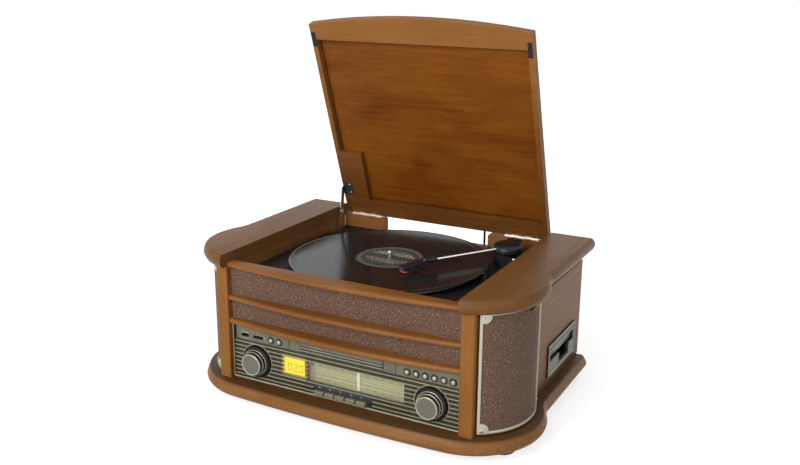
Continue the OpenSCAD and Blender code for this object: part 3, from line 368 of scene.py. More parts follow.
# ---- Feet ----
# Four black rubber pads under the base board, dull and a little dusty.
def fine_grain_group():
    """An even finish that isn't dead even: slow blotches lighten and darken a colour and its gloss, and fine
    pits stand for the grain of moulding, paint or plating."""
    group, given = fresh_group("fine_grain", {"Place": "Vector", "Base": "Color", "Size": "Float",
                                              "Depth": "Float", "Gloss": "Float"},
                               {"Colour": "Color", "Roughness": "Float", "Height": "Float"})
    place = given.outputs["Place"]
    blotch = tree_node(group, "ShaderNodeTexNoise", Vector=place, Scale=given.outputs["Size"], Detail=4.0)
    pits = tree_node(group, "ShaderNodeTexNoise", Vector=place, Detail=2.0,
                     Scale=sum_of(group, "MULTIPLY", given.outputs["Size"], 22.0))
    spread = sum_of(group, "SUBTRACT", blotch.outputs["Fac"], 0.5)
    gain = sum_of(group, "MULTIPLY_ADD", spread, sum_of(group, "MULTIPLY", given.outputs["Depth"], 2.0), 1.0)
    grey = tree_node(group, "ShaderNodeCombineColor", Red=gain, Green=gain, Blue=gain).outputs[0]
    rough = sum_of(group, "MULTIPLY_ADD", spread, 0.22, given.outputs["Gloss"])
    tree_node(group, "NodeGroupOutput", Colour=shade(group, 1.0, given.outputs["Base"], grey, "MULTIPLY"),
              Roughness=rough, Height=pits.outputs["Fac"])
    return group


FINE_GRAIN = fine_grain_group()


def grained(made, tree, shader, base, size, depth, gloss, pits):
    """Puts the fine grain on a material's colour, gloss and surface; base is a colour or an output."""
    grain = tree_node(tree, "ShaderNodeGroup", node_tree=FINE_GRAIN, Size=size, Depth=depth, Gloss=gloss,
                      Place=object_place(tree))
    if isinstance(base, bpy.types.NodeSocket):
        tree.links.new(base, grain.inputs["Base"])
    else:
        grain.inputs["Base"].default_value = (*base, 1)
    tree.links.new(grain.outputs["Colour"], shader.inputs["Base Color"])
    tree.links.new(grain.outputs["Roughness"], shader.inputs["Roughness"])
    bump = tree_node(tree, "ShaderNodeBump", Strength=pits, Distance=0.0002, Height=grain.outputs["Height"])
    tree.links.new(bump.outputs[0], shader.inputs["Normal"])
    return made


def finish(name, colour, gloss, size=60.0, depth=0.25, pits=0.1, **more):
    """A moulded, painted or plated finish with a fine grain."""
    made, tree, shader = plain_material(name, colour, gloss, **more)
    return grained(made, tree, shader, colour, size, depth, gloss, pits)


rubber = finish("foot_rubber", (0.02, 0.02, 0.02), 0.75, 90.0, 0.5, 0.3)
FOOT_R, FOOT_H = 0.018, 0.0148
foot_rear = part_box("feet")[1].y
pads = []
for x, y in ((0.223, -0.102), (0.214, foot_rear - 0.03)):
    for hand in (1, -1):
        rim = arc((0, 0), 1, 0, 360, 41)[:-1]
        pads.append(np.array([at_height(rim * r + (hand * x, y), z) for r, z in (
            (0.0165, 0.0), (0.0176, 0.0008), (FOOT_R, 0.003), (FOOT_R, FOOT_H - 0.0002))]))
fit(piece("rubber_feet", [sheet(pad) for pad in pads]), "cabinet", rubber, instead_of=["feet"])

# ---- Cabinet walls ----
# Side panels, back board and pilasters of the same stained wood, each with its grain along its length. A
# pilaster is a square strip with rounded front edges.
dress(side_wood, "side_panels")
dress(board_wood, "back_board")
post_wood = wood("stained_wood_z", (0.35, 0.142, 0.033), (0.25, 0.095, 0.02), 0.6, ALONG_Z)
post_low, post_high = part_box("pilasters")
POST_W, POST_D = 0.0195, 0.021
for side, hand in (("right", 1), ("left", -1)):
    x1, y0 = post_high.x, post_low.y
    outline = np.concatenate([arc((x1 - 0.003, y0 + 0.003), 0.003, -90, 0, 10),
                              [(x1, y0 + POST_D), (x1 - POST_W, y0 + POST_D)],
                              arc((x1 - POST_W + 0.0015, y0 + 0.0015), 0.0015, 180, 270, 8)])
    rings = np.array([at_height(outline, z) for z in (post_low.z, post_high.z)]) * (hand, 1, 1)
    fit(piece(f"{side}_pilaster", [sheet(rings[:, ::hand])]), "cabinet", post_wood, instead_of=["pilasters"])

# ---- Side caps ----
# Thick boards over the sides with rounded edges, and a bevelled moulding under them that runs back from
# the speaker.
cap_low, cap_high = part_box("side_caps")
CAP_INNER = 0.1845
CAP_LOBE_R = cap_high.x - LOBE[0]
CAP_SIDE = 0.2535
CAP_UNDER = 0.208
COVE_FOOT = cap_low.z


def cap_outline(inset, rear_inset):
    """The right cap's outline drawn in by inset: the lobe from the inner face, the hollow curve, the
    straight side and the rear edge, which has its own inset."""
    r, side, hollow = CAP_LOBE_R - inset, CAP_SIDE - inset, HOLLOW_R + inset
    start = -math.degrees(math.acos((CAP_INNER - LOBE[0]) / r))
    leave = math.degrees(math.acos((side + hollow - LOBE[0]) / (r + hollow)))
    hollow_y = LOBE[1] + (r + hollow) * math.sin(math.radians(leave))
    corner = 0.004
    return np.concatenate([
        arc(LOBE, r, start, leave, 90), arc((side + hollow, hollow_y), hollow, 180 + leave, 180, 20)[1:],
        arc((side - corner, REAR - rear_inset - corner), corner, 0, 90, 6),
        [(CAP_INNER, REAR - rear_inset)]])


# inset of the edge, inset of the rear edge, height
CAP_EDGE_MM = ((5.0, 0.0, 208.0), (3.6, 0.0, 209.0), (2.2, 0.0, 211.2), (0.6, 0.0, 214.2), (0.0, 0.0, 216.4),
               (0.2, 0.2, 219.0), (0.8, 0.8, 221.8), (1.7, 1.7, 224.0), (2.8, 2.8, 225.8), (3.9, 3.9, 226.9),
               (4.5, 4.5, 227.1), (5.6, 5.6, 227.4))


def cap_cove():
    """The bevelled moulding under a cap: a strip that leans in from the cap's edge to the panel, whose
    lower limit climbs to the cap where it meets the speaker, with a narrow flat underside."""
    edge = cap_outline(0.005, 0)
    foot = cap_outline(0.0194, 0)
    steps = 200
    spread = np.linspace(0, 1, steps)

    def along(line):
        run = line[60:]
        gone = np.concatenate([[0], np.cumsum(np.hypot(*np.diff(run, axis=0).T))])
        return np.column_stack([np.interp(spread * gone[-1], gone, run[:, i]) for i in (0, 1)])
    outer, inner = along(edge), along(foot)
    fade = COVE_FOOT - 0.009 + (outer[:, 1] - (LOBE[1] + 0.051)) * (CAP_UNDER - COVE_FOOT + 0.009) / 0.017
    low = np.clip(fade, COVE_FOOT, CAP_UNDER - 0.0002)
    rows = []
    for share in np.linspace(0, 1, 5):
        z = CAP_UNDER + (low - CAP_UNDER) * share
        lean = ((CAP_UNDER - z) / (CAP_UNDER - COVE_FOOT))[:, None]
        rows.append(np.column_stack([outer * (1 - lean) + inner * lean, z]))
    rows.append(np.column_stack([inner, low]))
    return np.array(rows)


cap_wood = wood("cap_wood", (0.235, 0.108, 0.034), (0.165, 0.068, 0.018), 0.6, ALONG_Y, 0.03)
cap_rings = np.array([at_height(cap_outline(i * MM, b * MM), z * MM) for i, b, z in CAP_EDGE_MM])
for side, hand in (("right", 1), ("left", -1)):
    for name, rings, is_ring in (("cap", cap_rings, True), ("cap_moulding", cap_cove(), False)):
        placed = rings * (hand, 1, 1)
        fit(piece(f"{side}_{name}", [sheet(placed[:, ::hand], closed=is_ring, ends=is_ring)]), "cabinet",
            cap_wood, instead_of=["side_caps"])

# ---- Rails ----
# Three strips across the front that bow forward and have a round nose.
rail_wood = wood("rail_wood", (0.33, 0.138, 0.036), (0.22, 0.08, 0.018), 0.6, ALONG_X, 0.08)
RAIL_R, RAIL_MIDDLE_Y = 1.31571, 1.14471
RAIL_HALF = 0.1833
NOSE_D = 0.0042


def bowed_rail(low, high, back):
    """Rings along x: each is the rail's section, a half ellipse whose tip lies on the bow's circle, and a
    flat back."""
    x = np.linspace(-RAIL_HALF, RAIL_HALF, 90)[:, None]
    tip = RAIL_MIDDLE_Y - np.sqrt(RAIL_R ** 2 - x ** 2)
    turn = np.radians(np.linspace(-90, 90, 15))
    y = np.concatenate([tip + NOSE_D - NOSE_D * np.cos(turn), np.full((90, 2), back)], 1)
    z = np.concatenate([(low + high) / 2 + (high - low) / 2 * np.sin(turn), [high, low]])
    return np.stack([np.broadcast_to(x, y.shape), y, np.broadcast_to(z, y.shape)], 2)[:, ::-1]


rails = [bowed_rail(low * MM, high * MM, back * MM) for low, high, back in
         ((206.5, 214.5, -144.5), (157, 164.5, -150.05), (120.5, 129, -150.05))]
fit(piece("front_rail_strips", [sheet(rings) for rings in rails]), "cabinet", rail_wood,
    instead_of=["front_rails"])


# ---- Cloth ----
# Brown speaker cloth: a coarse weave with small pale and dark flecks, stretched over the front board and
# round the corners.
def cloth_material():
    """Weave and flecks from the piece's own flat measure, in metres, kept as its UV map."""
    made, tree, shader = plain_material("speaker_cloth", (0.15, 0.07, 0.045), 0.85, Sheen_Weight=0.1)
    flat = tree_node(tree, "ShaderNodeUVMap").outputs[0]
    tone = tree_node(tree, "ShaderNodeTexNoise", Vector=flat, Scale=420.0, Detail=4.0, Roughness=0.7)
    colour = shade(tree, ramp(tree, tone.outputs["Fac"], 0.36, 0.64), (0.06, 0.03, 0.018),
                   (0.2, 0.108, 0.066))
    for scale, size, share, fleck in ((610.0, 0.34, 0.35, (0.27, 0.17, 0.11)),
                                      (430.0, 0.32, 0.5, (0.022, 0.012, 0.008)),
                                      (290.0, 0.25, 0.2, (0.48, 0.33, 0.19))):
        spots = tree_node(tree, "ShaderNodeTexVoronoi", Vector=flat, Scale=scale, Randomness=0.65)
        chance = tree_node(tree, "ShaderNodeSeparateColor", Color=spots.outputs["Color"]).outputs[0]
        some = ramp(tree, chance, share, share + 0.2)
        near = ramp(tree, spots.outputs["Distance"], size * 0.45, size, 1.0, 0.0)
        colour = shade(tree, sum_of(tree, "MULTIPLY", near, some), colour, fleck)
    tree.links.new(colour, shader.inputs["Base Color"])
    weave = tree_node(tree, "ShaderNodeTexVoronoi", Vector=flat, Scale=520.0, Randomness=0.3)
    bump = tree_node(tree, "ShaderNodeBump", Strength=0.5, Distance=0.0005, Height=weave.outputs["Distance"])
    tree.links.new(bump.outputs[0], shader.inputs["Normal"])
    return made


def flat_measure(made, across, upwards):
    """Gives a grid piece a UV map from its points' own measure in metres, one value per grid point."""
    layer = made.data.uv_layers.new(name="flat")
    corner = np.zeros(len(made.data.loops), int)
    made.data.loops.foreach_get("vertex_index", corner)
    layer.data.foreach_set("uv", np.column_stack([across.ravel(), upwards.ravel()])[corner].ravel())
    return made


cloth = cloth_material()
bare_board = finish("bare_board", (0.12, 0.08, 0.05), 0.8, 40.0, 0.5, 0.4)
board_low, board_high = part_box("front_board")
x, z = np.meshgrid(np.linspace(board_low.x, board_high.x, 60), np.linspace(board_low.z, board_high.z, 20))
front_cloth = piece("front_cloth",
                    [sheet(np.stack([x, np.full_like(x, board_low.y - 0.0004), z], 2), False, False)])
fit(flat_measure(front_cloth, x, z), "cabinet", cloth)
dress(bare_board, "front_board")

CORNER_R = 0.089
GRILLE_TURN = (-61.5, 22.0)
GRILLE_Z = (0.04, 0.2078)
CLOTH_R = 0.0874


def on_corner(around, z, radius, hand):
    """Points wrapped round a front corner: around is the measure along its curve at the frame's radius."""
    turn = around / CORNER_R
    return np.stack([hand * (LOBE[0] + radius * np.cos(turn)), LOBE[1] + radius * np.sin(turn),
                     z + 0 * turn], -1)


frame_ends = np.radians(GRILLE_TURN) * CORNER_R
for side, hand in (("right", 1), ("left", -1)):
    around, z = np.meshgrid(np.linspace(frame_ends[0] + 0.001, frame_ends[1] - 0.001, 60),
                            np.linspace(GRILLE_Z[0] + 0.001, GRILLE_Z[1] - 0.001, 40))
    around, z = around[:, ::hand], z[:, ::hand]
    corner_cloth = piece(f"{side}_speaker_cloth", [sheet(on_corner(around, z, CLOTH_R, hand), False, False)])
    fit(flat_measure(corner_cloth, around * hand, z), "cabinet", cloth)
dress(bare_board, "grille_cloths", "speaker_baffles")
dress(finish("paper_cone", (0.03, 0.03, 0.03), 0.7, 120.0, 0.6, 0.5), "speaker_drivers")


# ---- Grille frames ----
# Pressed steel frames in champagne enamel, with rolled edges, and a round tab in both front corners that a
# cross-head screw holds.
def rounded_rect(low, high, radius, inset=0.0, count=6):
    """Anticlockwise points of a rectangle with round corners, drawn in by inset."""
    r = max(radius - inset, 0.01)
    (x0, y0), (x1, y1) = (low[0] + inset, low[1] + inset), (high[0] - inset, high[1] - inset)
    return np.concatenate([arc((x1 - r, y0 + r), r, -90, 0, count), arc((x1 - r, y1 - r), r, 0, 90, count),
                           arc((x0 + r, y1 - r), r, 90, 180, count),
                           arc((x0 + r, y0 + r), r, 180, 270, count)])


def slab(low, high, radius, levels, count=6):
    """Rings of a rounded rectangle, one for each level (inset, height), all in millimetres."""
    return np.array([at_height(rounded_rect(low, high, radius, i, count), h) for i, h in levels])


def stepped(rings, most):
    """The same closed rings with points added on long straight stretches, so that none is over most long."""
    gap = np.linalg.norm(np.roll(rings[0], -1, 0) - rings[0], axis=1)
    parts = np.maximum(np.ceil(gap / most), 1).astype(int)
    index = np.repeat(np.arange(len(parts)), parts)
    share = np.concatenate([np.arange(n) / n for n in parts])[None, :, None]
    return rings[:, index] * (1 - share) + rings[:, (index + 1) % len(parts)] * share


def turned(profile, count=48, flutes=0, cuts=None):
    """Rings turned about the outward axis, one for each profile pair (radius, height) in millimetres.
    Rings named in cuts are fluted: their radius swings in and out flutes times round, by that cut."""
    turn = np.linspace(0, 2 * math.pi, count, endpoint=False)
    profile = np.asarray(profile, float)
    wave = (1 - np.cos(flutes * turn)) / 2
    deep = np.zeros(len(profile)) if cuts is None else np.asarray(cuts, float)
    r = profile[:, :1] - deep[:, None] * wave
    return np.stack([r * np.cos(turn), r * np.sin(turn), np.repeat(profile[:, 1:], count, 1)], 2)


def mapped(local, origin, across, upward):
    """Millimetre measures (across, upward, outward) on a face, put in the frame in metres."""
    across, upward = np.asarray(across, float), np.asarray(upward, float)
    outward = np.cross(across, upward)
    local = np.asarray(local, float)
    return (np.asarray(origin, float) + local[..., :1] * across + local[..., 1:2] * upward
            + local[..., 2:] * outward) * MM


def screw_head(radius=3.0, height=1.3):
    """A cross-head screw on the outward axis: a dome whose cross is sunk where a point lies within the
    cross's arms."""
    r = np.array([1.0, 1.0, 0.93, 0.8, 0.66, 0.62, 0.45, 0.3, 0.2, 0.12, 0.03])[:, None] * radius
    turn = np.linspace(0, 2 * math.pi, 64, endpoint=False)
    u, v = r * np.cos(turn), r * np.sin(turn)
    dome = height * (1 - 0.55 * (r / radius) ** 2) + 0 * turn
    dome[0] = -0.3
    arm = (np.minimum(abs(u), abs(v)) < 0.13 * radius) & (r < 0.64 * radius)
    return np.stack([u, v, dome - arm * height * 0.55], 2)


enamel = finish("champagne_enamel", (0.52, 0.49, 0.37), 0.36, 50.0, 0.12, 0.05, Metallic=0.3, Coat_Weight=0.2)
nickel = finish("nickel_screw", (0.5, 0.49, 0.45), 0.36, 300.0, 0.2, 0.1, Metallic=0.8)
BORDER = 4.0
ROLL = ((-2.0, -1.6), (-2.0, -0.1), (-1.5, 0.3), (-0.6, 0.45), (0.6, 0.45), (1.5, 0.3), (2.0, -0.1),
        (2.0, -1.6))
frame_low = (frame_ends[0] / MM, GRILLE_Z[0] / MM)
frame_high = (frame_ends[1] / MM, GRILLE_Z[1] / MM)
TAB_R, TAB_IN = 10.0, 6.0
for side, hand in (("right", 1), ("left", -1)):
    border = np.array([at_height(rounded_rect(frame_low, frame_high, 4.0, BORDER / 2 + u, 8), h)
                       for u, h in ROLL])
    border = stepped(border, 3.0)
    tabs, screws = [], []
    for z in (frame_low[1] + 5, frame_high[1] - 5):
        disc = turned([(TAB_R, -1.4), (TAB_R, -0.1), (TAB_R - 0.4, 0.25), (TAB_R - 1.0, 0.4), (5, 0.45),
                       (0.05, 0.45)], 64)
        disc = disc + (frame_low[0] + TAB_IN, z, 0)
        disc[..., 0] = np.maximum(disc[..., 0], frame_low[0] + 0.4)
        disc[..., 1] = np.clip(disc[..., 1], frame_low[1] + 0.4, frame_high[1] - 0.4)
        tabs.append(disc)
        screws.append(screw_head(3.1, 1.4) + (frame_low[0] + TAB_IN, z, 0.45))
    nub = turned([(1.6, -0.5), (1.5, 0.6), (1.1, 1.1), (0.5, 1.3), (0.03, 1.35)], 20)
    nub = nub + (frame_high[0] - 2.2, frame_low[1] + 14, 0)

    def wrapped(rings):
        """Flat measures and height over the frame's radius, bent round the corner."""
        curved = on_corner(rings[..., 0] * MM, rings[..., 1] * MM, CORNER_R + rings[..., 2] * MM, hand)
        return curved[:, ::hand]
    fit(piece(f"{side}_grille_frame", [sheet(wrapped(border), loop=True)]
              + [sheet(wrapped(tab)) for tab in tabs]
              + [sheet(wrapped(nub))], 50), "cabinet", enamel, instead_of=["grille_frames"])
    fit(piece(f"{side}_frame_screws", [sheet(wrapped(screw)) for screw in screws], 30), "cabinet", nickel)

# ---- Corner strips ----
# Stained wood between each speaker frame and the side panel, bent to the speaker's curve.
STRIP_TURN = (22.3, 36.6)
STRIP_OUTER, STRIP_INNER = 0.0886, 0.0868
STRIP_REACH = (0.0365, 0.2079)
for side, hand in (("right", 1), ("left", -1)):
    bent = np.concatenate([arc(LOBE, STRIP_OUTER, *STRIP_TURN, 14),
                           arc(LOBE, STRIP_INNER, *STRIP_TURN[::-1], 14)])
    rings = np.array([at_height(bent, z) for z in STRIP_REACH]) * (hand, 1, 1)
    fit(piece(f"{side}_corner_strip", [sheet(rings[:, ::hand])]), "cabinet", post_wood)

# ---- Control panel ----
# An extruded panel in antique metal: pale ridges over dark olive furrows with painted shadow under each
# ridge, a plain strip above them for the drawer and the round buttons, and a cream border on the left and
# below with painted shadow beside the left one. The display's light on it is painted: the panel glows amber
# round the window.
PANEL_Y = -150.0
FRONT = dict(origin=(0, PANEL_Y, 0), across=(1, 0, 0), upward=(0, 0, 1))
RIDGE_PITCH, FIRST_RIDGE = 6.4, 43.0
STRIP_Z = 97.0
LCD_LOW, LCD_HIGH = (-94.0, 61.0), (-59.6, 85.4)


def apart(tree, value, centre):
    """How far a value lies from centre, either way."""
    return sum_of(tree, "ABSOLUTE", sum_of(tree, "SUBTRACT", value, centre))


def panel_material():
    """Ridges by the distance to the nearest ridge line in z, with painted shadow in the furrows, a dark line
    under the drawer, painted shadow beside the left border, and the display's light painted as an amber glow
    by the distance to its window."""
    made, tree, shader = plain_material("antique_panel", (0.2, 0.19, 0.13), 0.4, Metallic=0.12,
                                        Specular_IOR_Level=0.3)
    px, _py, pz = place_parts(tree)
    shift = sum_of(tree, "MULTIPLY_ADD", pz, 1000 / RIDGE_PITCH, 0.5 - FIRST_RIDGE / RIDGE_PITCH)
    off = sum_of(tree, "SUBTRACT", sum_of(tree, "FRACT", shift), 0.5)
    away = sum_of(tree, "MULTIPLY", sum_of(tree, "ABSOLUTE", off), RIDGE_PITCH)
    # Painted shadow: each furrow is darkest in its upper half, under the ridge above, and dark olive in its
    # lower half.
    furrow_with_painted_shadow = shade(tree, ramp(tree, off, -0.4, 0.4), (0.01, 0.011, 0.004), (0.045, 0.046, 0.019))
    ridged = shade(tree, ramp(tree, away, 0.7, 1.15), (0.34, 0.32, 0.21), furrow_with_painted_shadow)
    by_drawer = sum_of(tree, "LESS_THAN", sum_of(tree, "ABSOLUTE", px), 0.0668)
    low_line = sum_of(tree, "COMPARE", pz, 0.0988, 0.0006)
    strip = shade(tree, sum_of(tree, "MULTIPLY", low_line, by_drawer), (0.17, 0.155, 0.105),
                  (0.014, 0.014, 0.008))
    # Painted shadow beside the cream left border: a dark band 4.6 mm wide on the strip, and 1.5 mm wide down
    # the whole face.
    strip_painted_shadow = sum_of(tree, "LESS_THAN", px, -0.1772)
    strip = shade(tree, strip_painted_shadow, strip, (0.012, 0.012, 0.008))
    face = shade(tree, ramp(tree, pz, STRIP_Z * MM, (STRIP_Z + 0.3) * MM), ridged, strip)
    trim = sum_of(tree, "MAXIMUM", sum_of(tree, "LESS_THAN", pz, 0.039),
                  sum_of(tree, "LESS_THAN", px, -0.1818))
    border_painted_shadow = sum_of(tree, "LESS_THAN", px, -0.1803)
    face = shade(tree, border_painted_shadow, face, (0.01, 0.01, 0.007))
    face = shade(tree, trim, face, (0.5, 0.46, 0.33))
    grained(made, tree, shader, face, 70.0, 0.25, 0.4, 0.12)
    half = [(b - a) / 2000 for a, b in zip(LCD_LOW, LCD_HIGH)]
    middle = [(a + b) / 2000 for a, b in zip(LCD_LOW, LCD_HIGH)]
    # Painted light: the panel glows amber round the display window, fading to nothing 7.5 mm away from it.
    gaps = [sum_of(tree, "MAXIMUM", sum_of(tree, "SUBTRACT", apart(tree, part, mid), reach), 0.0)
            for part, mid, reach in ((px, middle[0], half[0]), (pz, middle[1], half[1]))]
    reach = sum_of(tree, "SQRT", sum_of(tree, "ADD", *[sum_of(tree, "MULTIPLY", g, g) for g in gaps]))
    painted_display_glow = sum_of(tree, "POWER", ramp(tree, reach, 0.0, 0.0075, 1.0, 0.0), 2.4)
    tree.links.new(shade(tree, painted_display_glow, (0, 0, 0), (1.0, 0.72, 0.08)), shader.inputs["Emission Color"])
    shader.inputs["Emission Strength"].default_value = 0.5
    return made


panel_metal = panel_material()
dress(panel_metal, "control_panel")
gasket_black_and_shadow = finish("black_gasket", (0.012, 0.012, 0.012), 0.6, 200.0, 0.3, 0.2)
cream_paint = finish("cream_paint", (0.62, 0.58, 0.45), 0.4, 200.0, 0.15, 0.1)
worn_cream = finish("worn_cream", (0.33, 0.31, 0.23), 0.4, 200.0, 0.25, 0.1)


def outline_band(low, high, radius, width, height):
    """A raised band round a rounded rectangle: rings of the same outline at growing insets."""
    return np.array([at_height(rounded_rect(low, high, radius, i, 6), h) for i, h in
                     ((0, -0.2), (0, height), (width, height), (width, -0.2))])


DRAWER_LOW, DRAWER_HIGH = (-66.5, 100.0), (66.5, 112.5)
around_drawer = outline_band((DRAWER_LOW[0] - 1.1, DRAWER_LOW[1] - 1.1),
                             (DRAWER_HIGH[0] + 1.1, DRAWER_HIGH[1] + 1.1),
                             1.5, 0.75, 0.25)
BUTTON_X = [-116.2, -102.3] + [103.5 + 13.5 * i for i in range(6)]
BUTTON_Z = 105.0
collars = [turned([(4.35, -0.3), (4.35, 0.5), (4.8, 0.75), (5.3, 0.5), (5.5, 0.02), (5.5, -0.3)], 40)[::-1]
           + (x, BUTTON_Z, 0) for x in BUTTON_X]
# Two black strips across the whole panel are painted shadow lines, one under the drawer strip and one over
# the bottom border; they share the black of the gaskets.
shadow_lines = [slab((-183, 97.0), (183, 97.9), 0.2, ((0, -0.1), (0, 0.12))),
                slab((-183, 39.2), (183, 40.2), 0.2, ((0, -0.1), (0, 0.1)))]
fit(piece("panel_gaskets", [sheet(mapped(around_drawer, **FRONT), loop=True)]
          + [sheet(mapped(collar, **FRONT), loop=True) for collar in collars]
          + [sheet(mapped(line, **FRONT)) for line in shadow_lines]), "cabinet", gasket_black_and_shadow)
slot_marks = [slab((-168.5, 108.3), (-155.5, 109.2), 0.2, ((0, -0.1), (0.1, 0.25))),
              slab((-168.5, 100.4), (-155.5, 101.0), 0.2, ((0, -0.1), (0.1, 0.2))),
              slab((-128.8, 103.0), (-127.8, 108.4), 0.2, ((0, -0.1), (0.1, 0.25)))]
KNOB_X, KNOB_Z = 140.7, 68.4


def knob_arcs(x):
    """Two pale arcs round a knob, raised bands between two radii, open at the top and below."""
    bands = []
    for start, end in ((-42, 84), (96, 215)):
        turn = np.radians(np.linspace(start, end, 60))[None, :]
        r = np.array([25.1, 25.1, 26.1, 26.1])[:, None]
        high = np.array([-0.2, 1.45, 1.45, -0.2])[:, None]
        ring = np.stack([x + r * np.cos(turn), KNOB_Z + r * np.sin(turn), high + 0 * turn], 2)
        bands.append(ring.transpose(1, 0, 2)[::-1])
    return bands


def laid_on(place, name, shapes, body, material, sharp=35, instead_of=()):
    """A piece of closed shapes whose millimetre measures lie on a face of the real one."""
    made = piece(name, [sheet(mapped(rings, **place)) for rings in shapes], sharp)
    return fit(made, body, material, instead_of=instead_of)


laid_on(FRONT, "panel_marks", slot_marks, "cabinet", cream_paint)
laid_on(FRONT, "knob_arcs", knob_arcs(KNOB_X) + knob_arcs(-KNOB_X), "cabinet", worn_cream)

# ---- Display ----
# A backlit amber display behind a clear window, showing three figures.
amber, tree, shader = plain_material("amber_display", (0.05, 0.03, 0.0), 0.3, Emission_Strength=1.0)
px, _py, pz = place_parts(tree)
edge_x = ramp(tree, apart(tree, px, -0.07525), 0.0135, 0.0188)
edge_z = ramp(tree, apart(tree, pz, 0.07375), 0.009, 0.0128)
haze = tree_node(tree, "ShaderNodeTexNoise", Vector=object_place(tree), Scale=90.0, Detail=2.0).outputs["Fac"]
dim = sum_of(tree, "MULTIPLY_ADD", haze, 0.25,
             sum_of(tree, "MULTIPLY", sum_of(tree, "MAXIMUM", edge_x, edge_z), 0.6))
lit = shade(tree, dim, (1.0, 0.82, 0.05), (0.9, 0.6, 0.06))
beside = sum_of(tree, "MAXIMUM", sum_of(tree, "GREATER_THAN", px, LCD_HIGH[0] * MM),
                sum_of(tree, "GREATER_THAN", pz, LCD_HIGH[1] * MM))
tree.links.new(shade(tree, beside, lit, (0.16, 0.14, 0.07)), shader.inputs["Emission Color"])
dress(amber, "lcd_display")

digit_ink = finish("display_figure", (0.3, 0.2, 0.01), 0.5, 300.0, 0.1, 0.1,
                   Emission_Color=(0.62, 0.46, 0.02, 1), Emission_Strength=0.55)
DIGIT_W, DIGIT_H, STROKE = 6.6, 11.5, 1.35
SEGMENTS = {"0": "abcdef", "2": "abged"}


def figure(digit, x, z):
    """Seven-segment figure: each lit stroke is a thin slab between the figure's corners."""
    w, h, s = DIGIT_W, DIGIT_H, STROKE
    gap = s * 0.35
    strokes = {"a": ((gap, h - s), (w - gap, h)), "g": ((gap, (h - s) / 2), (w - gap, (h + s) / 2)),
               "d": ((gap, 0), (w - gap, s)), "f": ((0, h / 2 + gap), (s, h - gap)),
               "b": ((w - s, h / 2 + gap), (w, h - gap)), "e": ((0, gap), (s, h / 2 - gap)),
               "c": ((w - s, gap), (w, h / 2 - gap))}
    return [slab((x + low[0], z + low[1]), (x + high[0], z + high[1]), 0.5, ((0, -0.5), (0, -0.3)), 3)
            for low, high in (strokes[k] for k in SEGMENTS[digit])]


figures = [stroke for i, digit in enumerate("020") for stroke in figure(digit, -88.0 + 9.6 * i, 65.6)]
laid_on(FRONT, "display_figures", figures, "cabinet", digit_ink)

# ---- Dial ----
# A long clear window; behind it lies the lit scale with rows of small figures and fine lines, and the
# pointer runs between them.
clear, tree, shader = plain_material("clear_window", (1, 1, 1), 0.04, Transmission_Weight=1.0, IOR=1.3)
smear = tree_node(tree, "ShaderNodeTexNoise", Vector=object_place(tree), Scale=30.0,
                  Detail=3.0).outputs["Fac"]
tree.links.new(ramp(tree, smear, 0.3, 0.7, 0.02, 0.07), shader.inputs["Roughness"])
dress(clear, "dial_glass")

scale_paint, tree, shader = plain_material("dial_paint", (0.26, 0.26, 0.13), 0.5, Emission_Strength=0.08)
px, _py, pz = place_parts(tree)
glow_band = ramp(tree, apart(tree, pz, 0.0722), 0.0, 0.016, 1.0, 0.45)
paint = shade(tree, ramp(tree, px, -0.0455, -0.0445), (0.19, 0.185, 0.13), (0.29, 0.285, 0.135))
cloud = tree_node(tree, "ShaderNodeTexNoise", Vector=object_place(tree), Scale=45.0,
                  Detail=2.0).outputs["Fac"]
paint = shade(tree, sum_of(tree, "MULTIPLY", cloud, 0.4), paint, (0.23, 0.235, 0.12))
tree.links.new(paint, shader.inputs["Base Color"])
tree.links.new(shade(tree, glow_band, (0, 0, 0), paint), shader.inputs["Emission Color"])
dress(scale_paint, "dial_scale")

DIAL = dict(origin=(0, PANEL_Y + 5.0, 0), across=(1, 0, 0), upward=(0, 0, 1))


def printed(words):
    """Printed figures as thin solids: each word is (text, across, up, size) in millimetres, filled from the
    letter outlines. Returns sheets' points and faces in the face's own measures."""
    sheets = []
    for text, u, v, size in words:
        curve = bpy.data.curves.new("figures", "FONT")
        curve.body, curve.size, curve.extrude, curve.resolution_u = text, size, 0.03, 2
        curve.align_x, curve.align_y = "CENTER", "CENTER"
        holder = bpy.data.objects.new("figures", curve)
        bpy.context.scene.collection.objects.link(holder)
        bpy.context.view_layer.update()
        shown = holder.evaluated_get(bpy.context.evaluated_depsgraph_get())
        cut = shown.to_mesh()
        spots = np.zeros(len(cut.vertices) * 3)
        cut.vertices.foreach_get("co", spots)
        faces = [np.array(face.vertices) for face in cut.polygons]
        sheets.append((spots.reshape(-1, 3) + (u, v, 0.02), np.zeros((0, 4), int), faces))
        shown.to_mesh_clear()
        bpy.data.objects.remove(holder)
        bpy.data.curves.remove(curve)
    return sheets


